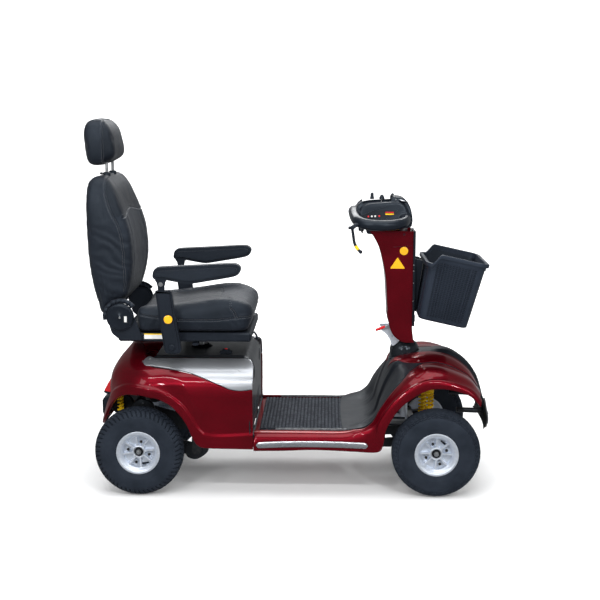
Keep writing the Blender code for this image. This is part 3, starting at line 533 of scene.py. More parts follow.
def screw(name, where, normal, radius, body, mat=None):
    """Domed screw head with a socket."""
    profile = [(0.0, -0.0006), (radius * 0.42, -0.0006), (radius * 0.5, 0.001), (radius * 0.8, 0.0012),
               (radius, 0.0004), (radius, -0.001)]
    show(name, lathe(profile, 18, where, normal), mat or STEEL, body, angle=50)


# Panel surfaces ----------------------------------------------------------------------------------
def normals(grid, centre):
    """Unit normals of a grid of points, turned away from a point inside."""
    cross = np.cross(np.gradient(grid, axis=0), np.gradient(grid, axis=1))
    cross /= np.maximum(np.linalg.norm(cross, axis=-1, keepdims=True), 1e-12)
    return cross if (cross * (grid - np.array(centre))).sum() > 0 else -cross


def displaced(grid, centre, amount):
    return grid + normals(grid, centre) * np.asarray(amount)[..., None]


def rolled(grid, centre, radius, flange, top=True, steps=5):
    """Turn the first and last rows of a panel inward round a small radius, like a moulded rim."""
    normal = normals(grid, centre)
    rows = [grid]
    for end in (0, -1) if top else (0,):
        edge, out = grid[:, end], normal[:, end]
        along = edge - grid[:, 1 if end == 0 else -2]
        along /= np.linalg.norm(along, axis=-1, keepdims=True)
        core = edge - out * radius
        roll = [core + out * radius * math.cos(a) + along * radius * math.sin(a)
                for a in np.linspace(0, PI / 2, steps + 1)[1:]]
        roll.append(core + along * radius - out * flange)
        added = np.stack(roll, 1)
        rows = [added[:, ::-1]] + rows if end == 0 else rows + [added]
    return np.concatenate(rows, 1)


def arc_length(grid):
    """Distance of each point of a grid from the first row, along its column."""
    step_length = np.linalg.norm(np.diff(grid, axis=1), axis=-1)
    return np.concatenate([np.zeros((len(grid), 1)), np.cumsum(step_length, 1)], 1)


# Rear body ---------------------------------------------------------------------------------------
half_w = table([0.17, 0.25, 0.38, 0.42, 0.45, 0.47, 0.49, 0.505, 0.52, 0.53],
               [0.314, 0.325, 0.33, 0.324, 0.308, 0.287, 0.248, 0.204, 0.135, 0.06])
back_x = table([0.17, 0.22, 0.26, 0.33, 0.4, 0.44, 0.49, 0.53],
               [-0.722, -0.716, -0.708, -0.69, -0.676, -0.668, -0.642, -0.606])
side_low = table([-0.5, -0.49, -0.439, -0.399, -0.368, -0.349, -0.333, -0.313, -0.271, -0.1275],
                 [0.376, 0.375, 0.354, 0.317, 0.27, 0.222, 0.195, 0.184, 0.181, 0.179])
side_top = table([-0.5, -0.451, -0.369, -0.307, -0.245, -0.204, -0.168, -0.1275],
                 [0.481, 0.476, 0.465, 0.447, 0.424, 0.408, 0.404, 0.409])
side_ridge = table([-0.5, -0.479, -0.392, -0.35, -0.325, -0.305, -0.2536, -0.1275],
                   [0.411, 0.406, 0.353, 0.296, 0.256, 0.236, 0.229, 0.236])
bend_low = table([0, 15, 30, 45, 60, 75, 90], [0.376, 0.385, 0.383, 0.366, 0.329, 0.262, 0.235])
bend_top = table([0, 6, 15, 30, 45, 90], [0.481, 0.487, 0.505, 0.524, 0.53, 0.53])
bend_ridge = table([0, 26, 56, 75, 90], [0.411, 0.419, 0.39, 0.335, 0.305])
BEND_X = -0.5
INSIDE = (-0.36, 0.0, 0.36)


def body_point(x, degrees, z):
    """Point of the rear body: x along the side, then degrees round the back."""
    angle = np.radians(degrees)
    reach = np.where(degrees > 0, BEND_X - back_x(z), 0.0)
    return np.stack([x - reach * np.sin(angle), -half_w(z) * (0.5 + 0.5 * np.cos(angle)), z], -1)


def columns(x_start, side_count, degree_end, bend_count):
    x = np.concatenate([np.linspace(x_start, BEND_X, side_count), np.full(bend_count, BEND_X)])
    degrees = np.concatenate([np.zeros(side_count), np.linspace(0, degree_end, bend_count + 1)[1:]])
    return x[:, None], degrees[:, None]


def by_column(side, bend, x, degrees):
    return np.where(degrees > 0, bend(degrees), side(x))


x, degrees = columns(-0.1256, 84, 90, 50)
low = by_column(side_low, bend_low, x, degrees) + 0.004
top = by_column(side_top, bend_top, x, degrees) - 0.0006
z = low + (top - low) * np.linspace(0, 1, 52)[None, :]
grid = body_point(x + 0 * z, degrees + 0 * z, z)
above = z - by_column(side_ridge, bend_ridge, x, degrees)
valley = -0.0075 * step(above, -0.003, 0.012) * (1 - step(above, 0.014, 0.095))
grid = displaced(grid, INSIDE, valley)
grid = rolled(grid, INSIDE, 0.004, 0.006, top=False)
grid[-1, :, 1] = 0.0
whole = np.concatenate([grid, (grid * np.array([1, -1, 1]))[::-1][1:]])
mesh = thick(outward(sheet(whole), INSIDE), 0.0026, rim_bevel=0.0009)
show("rear_shroud_skin", mesh, RED, "chassis", "rear_shroud", angle=60)

x, degrees = columns(-0.1258, 70, 16, 24)
low = np.where(degrees > 0, side_top(BEND_X) + 0 * degrees, side_top(x)) + 0.0016
top = np.where(degrees > 0, 0.5035 + 0.003 * step(degrees, 0, 8), 0.503)
nose = np.clip((degrees - 8.0) / 8.0, 0, 1)
round_off = np.sqrt(np.clip(1 - nose ** 2, 0, 1))
middle = (low + top) / 2
low = middle + (low - middle) * np.maximum(round_off, 0.02) + 0.0015
top = middle + (top - middle) * np.maximum(round_off, 0.02) - 0.0015
front = np.clip((x + 0.1525) / 0.025, 0, 1)
top = top - 0.02 * (1 - np.sqrt(np.clip(1 - front ** 2, 0, 1)))
z = low + (top - low) * np.linspace(0, 1, 30)[None, :]
grid = displaced(body_point(x + 0 * z, degrees + 0 * z, z), INSIDE, 0 * z + 0.0012)
grid = rolled(grid, INSIDE, 0.0015, 0.004, steps=3)
mesh = thick(outward(sheet(grid), INSIDE), 0.0022)
both("side_panel_skin", mesh, SILVER, "chassis", "side_panel_{}", angle=60)
for side, sign in SIDES:
    screw("panel_screw_rear_" + side, (-0.514, sign * 0.225, 0.4995), (0, sign * 0.62, 0.78), 0.0034,
          "chassis")
    screw("panel_screw_front_" + side, (-0.177, sign * 0.288, 0.4705), (0, sign * 0.74, 0.67), 0.0034,
          "chassis")

# Centre deck with its rounded front corner, and the wall below it
profile = [(-0.498, 0.506, 0.196), (-0.44, 0.5063, 0.196), (-0.3, 0.5066, 0.196), (-0.19, 0.5064, 0.196)]
for a in np.linspace(0, 90, 14):
    turn = math.radians(a)
    profile.append((-0.176 + 0.046 * math.sin(turn), 0.4687 + 0.0375 * math.cos(turn), 0.196))
for z in np.linspace(0.46, 0.236, 26):
    profile.append((-0.13, z, float(np.clip(half_w(z + 0.009) - 0.0035, 0, 0.33))))
profile = np.array(profile)
wide = np.minimum(profile[:, 2], np.where(profile[:, 1] > 0.455, 0.196 + (0.506 - profile[:, 1]) * 1.9, 1))
across = np.linspace(-1, 1, 61)
grid = np.zeros((len(profile), 61, 3))
grid[..., 0] = profile[:, 0:1] - 0.006 * np.clip((np.abs(across) - 0.95) / 0.05, 0, 1)[None, :] ** 2
grid[..., 1] = wide[:, None] * across[None, :]
grid[..., 2] = profile[:, 1:2] - 0.003 * (step(np.abs(across), 0.9, 1.0) * (profile[:, 1:2] > 0.49))
hole = lathe([(0, 0.47), (0.0262, 0.47), (0.0262, 0.53), (0, 0.53)], 40, (POST_X, 0, 0), UPRIGHT)
mesh = solid_cut(thick(outward(sheet(grid), (-0.36, 0, 0.3)), 0.003), hole)
show("seat_deck_skin", mesh, DECK, "chassis", "seat_deck", angle=50)
collar = [(0.0268, 0.5065), (0.0268, 0.5125), (0.03, 0.515), (0.035, 0.5125), (0.04, 0.509),
          (0.043, 0.5066)]
show("deck_collar", lathe(collar, 48, (POST_X, 0, 0), UPRIGHT, closed=True), BLACK, "chassis", angle=50)
slots = [box((-0.1302, -0.15, z), (-0.1288, 0.15, z + 0.004), 0.0006)
         for z in np.arange(0.255, 0.315, 0.011)]
show("wall_louvres", joined(*slots), BLACK, "chassis", angle=40)
handle = lathe([(0.0, 0.0012), (0.0105, 0.0012), (0.013, 0.0022), (0.015, 0.002), (0.0158, 0.0)], 36)
for side, sign in SIDES:
    port = moved(handle, Matrix.Translation((-0.1302, sign * 0.158, 0.44))
                 @ Matrix.Rotation(-PI / 2, 4, "Z") @ Matrix.Diagonal((0.75, 1, 1.6, 1)))
    show("deck_port_" + side, port, SATIN, "chassis", angle=50)
latch = [box((-0.262, -0.15, 0.5068), (-0.214, -0.118, 0.515), 0.003),
         box((-0.252, -0.146, 0.5145), (-0.224, -0.122, 0.5215), 0.002)]
show("deck_latch", joined(*latch), BLACK, "chassis", angle=40)
show("deck_latch_button", lathe([(0, 0.5242), (0.0048, 0.524), (0.0062, 0.5228), (0.0062, 0.5212),
                                 (0, 0.5212)], 24, (-0.238, -0.134, 0), UPRIGHT), MARK_RED, "chassis",
     angle=50)

# Front body --------------------------------------------------------------------------------------
# low x, low z, top x, top z, top y, then the cowl's middle line beside it (x, z)
STATIONS = np.array([(-0.124, 0.178, -0.124, 0.2405, 0.262, 0.06, 0.243),
                     (-0.01, 0.18, -0.01, 0.2405, 0.262, 0.11, 0.243),
                     (0.108, 0.184, 0.108, 0.2405, 0.262, 0.16, 0.243),
                     (0.248, 0.178, 0.208, 0.2405, 0.264, 0.2, 0.243),
                     (0.332, 0.176, 0.248, 0.249, 0.276, 0.24, 0.243),
                     (0.352, 0.204, 0.286, 0.258, 0.286, 0.298, 0.255),
                     (0.36, 0.257, 0.317, 0.284, 0.289, 0.333, 0.285),
                     (0.379, 0.296, 0.342, 0.33, 0.289, 0.348, 0.335),
                     (0.41, 0.342, 0.38, 0.383, 0.281, 0.363, 0.385),
                     (0.453, 0.38, 0.42, 0.425, 0.263, 0.378, 0.425),
                     (0.503, 0.41, 0.458, 0.458, 0.215, 0.403, 0.474),
                     (0.546, 0.42, 0.508, 0.476, 0.166, 0.478, 0.494),
                     (0.596, 0.417, 0.563, 0.476, 0.148, 0.561, 0.499),
                     (0.653, 0.401, 0.623, 0.458, 0.144, 0.628, 0.482),
                     (0.684, 0.382, 0.683, 0.426, 0.148, 0.688, 0.436),
                     (0.708, 0.354, 0.719, 0.383, 0.164, 0.727, 0.376)])
FRONT_INSIDE = (0.5, 0.0, 0.28)
fine = spline(STATIONS, 9)
angle = np.linspace(0, PI / 2, 40)
low_y = 0.318 + 0.012 * np.clip((fine[:, 1] - 0.18) / 0.08, 0, 1)
up = np.sin(angle) ** 0.75
out = np.cos(angle) ** 0.75
out[-1] = 0.0
grid = np.zeros((len(fine), 40, 3))
grid[..., 0] = fine[:, 0:1] + (fine[:, 2:3] - fine[:, 0:1]) * np.sin(angle)
grid[..., 1] = -(fine[:, 4:5] + (low_y[:, None] - fine[:, 4:5]) * out)
grid[..., 2] = fine[:, 1:2] + (fine[:, 3:4] - fine[:, 1:2]) * up
length = arc_length(grid)
station = np.linspace(0, 15, len(fine))[:, None]
arch = step(station, 4.2, 6.0)
band = 0.034 + 0.004 * step(station, 6.0, 12.0)
valley = -0.0065 * step(length, band - 0.004, band + 0.008) * (1 - step(length, band + 0.012, band + 0.07))
blister = 0.004 * step(station, 9.6, 11.2) * (1 - step(station, 13.2, 14.8))
blister = blister * step(length, band + 0.02, band + 0.06) * (1 - step(length, band + 0.085, band + 0.15))
total = length[:, -1:]
fade = 1 - step(length, total - 0.012, total - 0.001)
grid = displaced(grid, FRONT_INSIDE, (valley * arch + blister) * fade)
grid = rolled(grid, FRONT_INSIDE, 0.004, 0.01, top=False)
mesh = thick(outward(sheet(grid), (0.3, -0.05, 0.2)), 0.0026, rim_bevel=0.0009)
both("front_fender_skin", mesh, RED, "chassis", "front_fender_{}", angle=60)

rows = spline(np.vstack([np.column_stack([STATIONS[3:, 2], STATIONS[3:, 3], STATIONS[3:, 4] - 0.0045,
                                          STATIONS[3:, 5], STATIONS[3:, 6]]),
                         (0.748, 0.31, 0.165, 0.757, 0.308), (0.758, 0.246, 0.165, 0.7675, 0.246),
                         (0.742, 0.222, 0.165, 0.754, 0.22)]), 9)
t = np.linspace(-1, 1, 81)
blend = np.clip(1 - t * t, 0, 1) ** 0.8
grid = np.zeros((len(rows), 81, 3))
grid[..., 0] = rows[:, 0:1] + (rows[:, 3:4] - rows[:, 0:1]) * blend
grid[..., 1] = rows[:, 2:3] * t
grid[..., 2] = rows[:, 1:2] + (rows[:, 4:5] - rows[:, 1:2]) * blend
row = np.linspace(0, 15, len(rows))[:, None]
side = np.abs(grid[..., 1])
# Two folds run down the footwell from the boot, and a swelling covers each end of the axle
fold = 0.005 * (step(side, 0.06, 0.074) - 1.6 * step(side, 0.118, 0.136) + 0.6 * step(side, 0.15, 0.21))
fold = fold * step(row, 1.5, 3.5) * (1 - step(row, 7.2, 8.6))
bump = 0.012 * np.exp(-((grid[..., 0] - 0.292) / 0.042) ** 2 - ((side - 0.232) / 0.04) ** 2)
spine = 0.014 * (1 - step(side, 0.022, 0.056)) * step(row, 8.4, 9.8) * (1 - step(row, 11.6, 13.0))
grid = displaced(grid, FRONT_INSIDE, fold + bump + spine)
opening = lathe([(0, 0.38), (0.0585, 0.38), (0.0585, 0.62), (0, 0.62)], 72, (STEER_X, 0, 0), UPRIGHT)
mesh = solid_cut(thick(outward(sheet(grid), FRONT_INSIDE), 0.0028, rim_bevel=0.0008), opening)
show("front_cowl_skin", mesh, COWL, "chassis", "front_cowl", angle=50)

# Red bonnet panels lie on the cowl between its black spine and the fenders
first = 56
patch = []
for i in range(first, 108):
    edge_y = rows[i, 2]
    widen = float(step((i - first) / 18, 0.0, 1.0))
    inner_t = 0.052 / edge_y + 0.03 * (1 - widen)
    outer_t = inner_t + 0.05 + (0.992 - inner_t - 0.05) * widen
    spread = np.linspace(inner_t, outer_t, 26)
    line = np.stack([np.interp(spread, t, grid[i, :, k]) for k in range(3)], -1)
    patch.append(line)
patch = np.array(patch)
u = np.linspace(0, 1, patch.shape[0])[:, None]
v = np.linspace(0, 1, patch.shape[1])[None, :]
crown = np.sin(PI * np.clip(v * 1.05, 0, 1)) ** 1.5 * step(u, 0.25, 0.5) * (1 - step(u, 0.8, 1.0))
raise_by = 0.0016 + 0.003 * crown
patch = displaced(patch, FRONT_INSIDE, raise_by * step(1.0 - v, 0.0, 0.08))
patch = rolled(patch, FRONT_INSIDE, 0.0015, 0.0035, steps=3)
both("bonnet_panel", flipped(thick(outward(sheet(patch), (0.56, 0.05, 0.3)), 0.002)), RED, "chassis",
     angle=60)

dome = [(0.0575, 0.461), (0.0575, 0.48), (0.057, 0.496), (0.0555, 0.506), (0.052, 0.516), (0.046, 0.525),
        (0.038, 0.532), (0.03, 0.5362), (0.024, 0.5384), (0.0215, 0.54), (0.0205, 0.5416), (0.018, 0.542),
        (0.0168, 0.5412), (0.0166, 0.52)]
show("tiller_boot_dome", lathe(spline(dome, 4), 96, (STEER_X, 0, 0), UPRIGHT), GLOSS, "chassis",
     "tiller_boot", angle=60)
ring = [(0.0592, -0.004), (0.0628, -0.004), (0.0638, 0.0), (0.0622, 0.004), (0.0592, 0.004)]
show("boot_ring", lathe(ring, 72, (STEER_X, 0, 0.474), (-0.2, 0, 1), closed=True), SATIN, "chassis",
     angle=50)

# Nose: a moulded lower bumper with slots, and a bar behind it
for side, sign in SIDES:
    hoop = [(0.742, sign * 0.168, 0.345), (0.749, sign * 0.169, 0.31), (0.757, sign * 0.168, 0.262),
            (0.75, sign * 0.166, 0.23)]
    show("nose_edge_" + side, tube(hoop, 0.003, 16, smooth=6), STEEL, "chassis", angle=60)
bar = [(0.64, -0.14, 0.292), (0.69, -0.14, 0.29), (0.722, -0.134, 0.288), (0.738, -0.1, 0.287),
       (0.738, 0.1, 0.287), (0.722, 0.134, 0.288), (0.69, 0.14, 0.29), (0.64, 0.14, 0.292)]
show("nose_bar", tube(bar, 0.01, 18, smooth=8), FRAME, "chassis", angle=60)
slots = [box((0.7655, -0.105, z), (0.7685, 0.105, z + 0.0065), 0.0012) for z in (0.228, 0.246, 0.264)]
show("nose_slots", joined(*slots), SATIN, "chassis", angle=40)

# Floor -------------------------------------------------------------------------------------------
profile = []
for k in range(25):
    left = -0.106 + 0.0136 * k
    for dx, dz in ((0.0004, 0.2366), (0.0014, 0.2386), (0.003, 0.24), (0.005, 0.24045), (0.009, 0.24045),
                   (0.0108, 0.24), (0.0122, 0.2386), (0.0132, 0.2366)):
        profile.append((left + dx, dz))
profile = [(-0.106, 0.2337)] + profile + [(0.234, 0.2337)]
show("floor_mat_ribs", plate(profile, -0.235, 0.235), MAT, "chassis", "floor_mat", angle=55)
show("floor_pan_skin", box((-0.127, -0.2555, 0.2182), (0.233, 0.2555, 0.2328), 0.004, 3), RED, "chassis",
     "floor_pan", angle=50)
for side, sign in SIDES:
    strip = box((-0.045, -0.0095, 0.0), (0.224, 0.0095, 0.005), 0.0022, 3)
    ridges = [box((-0.043, y - 0.0008, 0.0046), (0.222, y + 0.0008, 0.0056), 0.0004)
              for y in (-0.005, 0.0, 0.005)]
    place = Matrix.Translation((0, sign * 0.2525, 0.2405 - 0.0012)) @ Matrix.Rotation(-sign
                                                                                      * math.radians(4), 4,
                                                                                      "X")
    show("sill_strip_" + side, moved(joined(strip, *ridges), place), STRIP, "chassis", angle=40)

points = np.zeros((60, 22, 3))
along = np.linspace(-0.114, 0.298, 60)
for i, x in enumerate(along):
    rise = 0.198 + 0.0062 * (1 - ((x - 0.092) / 0.206) ** 2)
    end = min(x + 0.114, 0.298 - x)
    size = math.sqrt(min(1.0, max(end, 0.0002) / 0.011 * (2 - min(1.0, end / 0.011))))
    for j, a in enumerate(np.linspace(0, 2 * PI, 22, endpoint=False)):
        flat = 0.0042 * max(math.cos(a), -0.15)
        points[i, j] = (x, -0.3218 - flat * size, rise + 0.0112 * size * math.sin(a))
mesh = sheet(points, close_v=True)
both("sill_trim_bar", outward(mesh, (0.09, -0.31, 0.2)), TRIM, "chassis", "sill_trim_{}", angle=70)

# Wheels ------------------------------------------------------------------------------------------
HALF_TYRE = [(0.0775, 0.034), (0.079, 0.0395), (0.085, 0.0428), (0.095, 0.0465), (0.108, 0.0492),
             (0.122, 0.05), (0.134, 0.049), (0.143, 0.0465), (0.151, 0.0415), (0.157, 0.0345),
             (0.161, 0.0265), (0.1636, 0.018), (0.1648, 0.009), (0.165, 0.0)]


def ripple(value, period, width, soft):
    """1 inside a groove of that width, 0 between grooves."""
    away = np.abs((value / period + 0.5) % 1.0 - 0.5) * period
    return 1 - step(away, width / 2 - soft / 2, width / 2 + soft / 2)


def zigzag(value, period):
    return np.abs((value / period) % 1.0 * 2 - 1) * 2 - 1


def tyre(front):
    half = spline(HALF_TYRE, 6)
    profile = np.vstack([half, half[-2::-1] * (1, -1)])
    tangent = np.gradient(profile, axis=0)
    tangent /= np.linalg.norm(tangent, axis=1)[:, None]
    outer = np.stack([-tangent[:, 1], tangent[:, 0]], 1)
    if (outer * profile).sum() < 0:
        outer = -outer
    seg = np.concatenate([[0], np.cumsum(np.linalg.norm(np.diff(profile, axis=0), axis=1))])
    s = (seg - seg[-1] / 2)[None, :] * 1000
    count = 720
    angle = np.linspace(0, 2 * PI, count, endpoint=False)[:, None]
    around = angle * TYRE_RADIUS * 1000
    pitch = 2 * PI * TYRE_RADIUS * 1000 / (60 if front else 54)
    size = np.abs(s)
    if front:
        wave = 1.7 * zigzag(around, pitch) * step(size, 2, 8) * np.sign(s)
        cut = ripple(s + wave, 1e6, 3.0, 1.0)
        for line in (11.0, 21.5, 32.0):
            cut = np.maximum(cut, 1 - step(np.abs(size - line + 1.5 * zigzag(around + line * 3, pitch)),
                                           1.2, 2.2))
        wavy = 1.6 * np.sin(2 * PI * around / pitch) + 0.7 * np.sin(4 * PI * around / pitch)
        for line, deep in ((38.0, 0.0044), (46.5, 0.004), (54.0, 0.003)):
            cut = np.maximum(cut, deep / 0.003 * (1 - step(np.abs(size - line + wavy), 0.8, 2.6)))
        depth = -0.003 * cut
    else:
        turn = around + 2.5 * zigzag(s, 18.0)
        rows = 1 - step(np.abs(size - 11.5 + 2.0 * zigzag(around, pitch)), 1.3, 2.3)
        rows = np.maximum(rows, 1 - step(np.abs(size - 29.0 + 2.4 * zigzag(around + pitch / 2, pitch)), 1.5,
                                         2.5))
        across = ripple(turn, pitch, 3.2, 1.2) * (1 - step(size, 10, 12))
        across = np.maximum(across, ripple(turn + pitch / 2, pitch, 3.4, 1.2) * step(size, 12, 14)
                            * (1 - step(size, 27, 29)))
        lug = around + (size - 30) * 0.3
        across = np.maximum(across, ripple(lug, pitch, 5.2, 1.6) * step(size, 29, 31)
                            * (1 - step(size, 54, 60)))
        zone = 1 - step(size, 56, 62)
        depth = 0.0008 * zone - 0.006 * np.maximum(rows, across) * zone
    r = profile[None, :, 0]
    rings = 0.0009 * np.exp(-((r - 0.1) / 0.0014) ** 2) + 0.0007 * np.exp(-((r - 0.088) / 0.001) ** 2)
    rings = rings + 0.0008 * np.exp(-((r - 0.133) / 0.0012) ** 2)
    depth = depth + rings * step(size, 62, 66)
    radius = profile[None, :, 0] + outer[None, :, 0] * depth
    height = profile[None, :, 1] + outer[None, :, 1] * depth
    points = np.stack([radius * np.cos(angle), height + 0 * angle, radius * np.sin(angle)], -1)
    inner = np.stack([0.0765 * np.cos(angle), 0.034 + 0 * angle, 0.0765 * np.sin(angle)], -1)
    far = inner * np.array([1, -1, 1])
    points = np.concatenate([inner, points, far], 1)
    return outward(sheet(points, close_u=True, close_v=True), (0, 0, 0))


def rim():
    """Wheel disc with eight ribs between pockets, seen from its outer side at -Y."""
    count = 384
    angle = np.linspace(0, 2 * PI, count, endpoint=False)[:, None]
    r = np.concatenate([[0.0002], np.linspace(0.004, 0.0825, 118)])[None, :]
    spoke = np.abs(((angle / (2 * PI) * 8) % 1.0) - 0.5) * 2 * PI / 8 * 2 * r / 2
    rib = 1 - step(spoke, 0.003, 0.0055)
    web = step(r, 0.0235, 0.0265) * (1 - step(r, 0.0555, 0.06))
    height = 0.025 + 0.004 * step(r, 0.02, 0.06) + 0 * angle
    height = height - 0.0165 * web * (1 - rib)
    height = height + 0.011 * step(r, 0.0585, 0.0705)
    height = height + 0.0015 * step(r, 0.0715, 0.0745) - 0.0012 * step(r, 0.08, 0.0825)
    height = height - 0.0065 * (1 - step(r, 0.0165, 0.0185))
    cap = 0.0012 * np.exp(-((r - 0.0206) / 0.0016) ** 2)
    boss = ((angle / (2 * PI) * 4 + 0.5) % 1.0 - 0.5) * 2 * PI / 4
    away = np.sqrt((r * np.cos(boss) - 0.04) ** 2 + (r * np.sin(boss)) ** 2)
    height = height + (0.007 * (1 - step(away, 0.0062, 0.0082))) * web * (1 - rib) + cap
    face = np.stack([r * np.cos(angle), -height, r * np.sin(angle)], -1)
    back = [(0.083, -0.0385), (0.08, -0.0383), (0.0765, -0.038), (0.0745, -0.034), (0.0735, -0.01),
            (0.0735, 0.01), (0.0745, 0.034), (0.0765, 0.038), (0.08, 0.0383), (0.083, 0.039),
            (0.083, 0.0405), (0.08, 0.0412), (0.074, 0.04), (0.0722, 0.037), (0.0715, -0.004),
            (0.064, -0.007), (0.027, -0.0085), (0.0262, 0.018), (0.025, 0.02), (0.0112, 0.02)]
    extra = np.stack([np.stack([b * np.cos(angle[:, 0]), 0 * angle[:, 0] + h, b * np.sin(angle[:, 0])],
                               -1) for b, h in back], 1)
    return outward(sheet(np.concatenate([face, extra], 1), close_u=True), (0, 0.01, 0))


def nut(radius, height):
    """Hexagonal nut with a chamfered face, along -Y."""
    bm = bmesh.new()
    bmesh.ops.create_cone(bm, cap_ends=True, segments=6, radius1=radius, radius2=radius, depth=height)
    bmesh.ops.bevel(bm, geom=bm.edges[:], offset=height * 0.1, segments=2, affect="EDGES")
    bmesh.ops.rotate(bm, verts=bm.verts, matrix=Matrix.Rotation(PI / 2, 3, "X"))
    return done(bm)


rim_mesh = rim()
washer = lathe([(0.0, -0.0195), (0.0105, -0.0195), (0.0155, -0.02), (0.0164, -0.0212), (0.0155, -0.0222),
                (0.01, -0.0225), (0.0, -0.0225)], 48)
stem = lathe([(0.0, -0.006), (0.004, -0.006), (0.0036, 0.01), (0.003, 0.012), (0.003, 0.02),
              (0.0026, 0.0215), (0.0, 0.0215)], 20)
for end, x, turned in (("rear", -HALF_BASE, 0.24), ("front", HALF_BASE, -0.35)):
    tyre_mesh = tyre(end == "front")
    for side, sign in SIDES:
        wheel = "wheel_" + end + "_" + side
        spin = Matrix.Rotation(turned, 4, "Y")
        face = Matrix.Identity(4) if sign < 0 else Matrix.Rotation(PI, 4, "Z")
        place = Matrix.Translation((x, sign * TRACK, AXLE_Z)) @ face @ spin
        name = end + "_" + side
        show("tyre_" + name + "_tread", moved(tyre_mesh, place), TYRE, wheel, "tyre_" + name, angle=45)
        show("rim_" + name + "_disc", moved(rim_mesh, place), CAST, wheel, "rim_" + name, angle=45)
        show("hub_washer_" + name, moved(washer, place), FRAME, wheel, angle=40)
        lock = moved(joined(moved(nut(0.0098, 0.01), Matrix.Translation((0, -0.027, 0))),
                            lathe([(0.0, -0.0375), (0.0044, -0.0375), (0.0052, -0.0365), (0.0052, -0.03)],
                                  24)), place)
        show("hub_nut_" + name, lock, STEEL, wheel, angle=35)
        bolts = []
        for k in range(4):
            at = Matrix.Rotation(PI / 2 * k, 4, "Y") @ Matrix.Translation((0.04, -0.0245, 0))
            bolts.append(moved(nut(0.006, 0.004), at))
        show("rim_bolts_" + name, moved(joined(*bolts), place), FRAME, wheel, angle=35)
        at = Matrix.Rotation(1.05 if end == "rear" else -0.45, 4, "Y")
        lean = at @ Matrix.Translation((0.048, -0.02, 0.004)) @ Matrix.Rotation(1.9, 4, "X")
        show("valve_" + name, moved(stem, place @ lean), BLACK, wheel, angle=45)

# Upholstery --------------------------------------------------------------------------------------
def offset_outline(outline, distance):
    """Closed outline moved inward along its own normals."""
    along = np.roll(outline, -1, 0) - np.roll(outline, 1, 0)
    along /= np.linalg.norm(along, axis=1)[:, None]
    inward = np.stack([-along[:, 1], along[:, 0]], 1)
    area = 0.5 * np.sum(outline[:, 0] * np.roll(outline[:, 1], -1) - np.roll(outline[:, 0], -1)
                        * outline[:, 1])
    return outline + inward * distance * (1 if area > 0 else -1)


def pillow(outline, half, radius, crown, width):
    """Closed form from a side outline: rounded long edges, domed sides, width(x, z) narrows it."""
    outline = spline(outline, 5, True)
    centre = outline.mean(0)
    rows = [(y * (half - radius), 0.0, 1.0) for y in np.linspace(-1, 1, 25)]
    for a in np.linspace(0, PI / 2, 8)[1:]:
        rows.append(((half - radius) + radius * math.sin(a), radius * (1 - math.cos(a)), 1.0))
    for k in (0.8, 0.6, 0.4, 0.2, 0.02):
        rows.append((half + crown * (1 - k * k), radius, k))
    rows = [(-y, d, k) for y, d, k in rows[:24:-1]] + rows
    points = []
    for y, inset, scale in rows:
        ring = offset_outline(outline, inset)
        ring = centre + (ring - centre) * scale
        side = y * width(ring[:, 0], ring[:, 1])
        points.append(np.stack([ring[:, 0], side, ring[:, 1]], 1))
    bm = bmesh.new()
    bm.from_mesh(sheet(points, close_v=True))
    count = len(points[0])
    bm.verts.ensure_lookup_table()
    for first in (0, (len(points) - 1) * count):
        bm.faces.new([bm.verts[first + k] for k in range(count)])
    return done(bm)


def remeshed(mesh, voxel, factor, iterations):
    """Voxel remesh, smoothed."""
    obj = placed("work", mesh)
    mod = obj.modifiers.new("Remesh", "REMESH")
    mod.mode = "VOXEL"
    mod.voxel_size = voxel
    mod = obj.modifiers.new("Smooth", "SMOOTH")
    mod.factor = factor
    mod.iterations = iterations
    return baked(obj)


def puffed(mesh, pins, cap, voxel=0.006, pressure=4.0):
    """Voxel remesh, then a short cloth simulation under pressure, held along the seams and capped."""
    obj = placed("soft", remeshed(mesh, voxel, 0.6, 6))
    start = np.array([v.co for v in obj.data.vertices])
    group = obj.vertex_groups.new(name="pin")
    for index, point in enumerate(start):
        weight = pins(point)
        if weight > 0.01:
            group.add([index], min(weight, 1.0), "REPLACE")
    cloth = obj.modifiers.new("Cloth", "CLOTH")
    settings = dict(use_pressure=True, uniform_pressure_force=pressure, quality=5, tension_stiffness=25,
                    compression_stiffness=12, shear_stiffness=12, bending_stiffness=0.6,
                    vertex_group_mass="pin")
    for key, value in settings.items():
        setattr(cloth.settings, key, value)
    cloth.settings.effector_weights.gravity = 0.0
    cloth.point_cache.frame_start = 1
    cloth.point_cache.frame_end = 20
    for when in range(1, 21):
        bpy.context.scene.frame_set(when)
    mesh = baked(obj)
    bpy.context.scene.frame_set(1)
    end = np.array([v.co for v in mesh.vertices])
    move = end - start
    far = np.linalg.norm(move, axis=1, keepdims=True)
    move *= cap * np.tanh(far / cap) / np.maximum(far, 1e-9)
    mesh.vertices.foreach_set("co", (start + move).astype(np.float32).ravel())
    return mesh


def surface(mesh):
    return BVHTree.FromPolygons([v.co for v in mesh.vertices], [p.vertices for p in mesh.polygons])


def neighbours(points):
    """Search tree of points."""
    tree = KDTree(len(points))
    for index, point in enumerate(points):
        tree.insert(point, index)
    tree.balance()
    return tree


def project(tree, points):
    """Nearest surface point and normal for each point."""
    found = [tree.find_nearest(Vector(p)) for p in points]
    return np.array([f[0] for f in found]), np.array([f[1] for f in found])


def dense(points, gap=0.004, closed=False):
    """Evenly spaced points along a smooth curve."""
    path = spline(points, 24, closed)
    if closed:
        path = np.vstack([path, path[:1]])
    length = np.concatenate([[0], np.cumsum(np.linalg.norm(np.diff(path, axis=0), axis=1))])
    at = np.linspace(0, length[-1], max(int(length[-1] / gap), 4))
    return np.stack([np.interp(at, length, path[:, k]) for k in range(3)], 1)


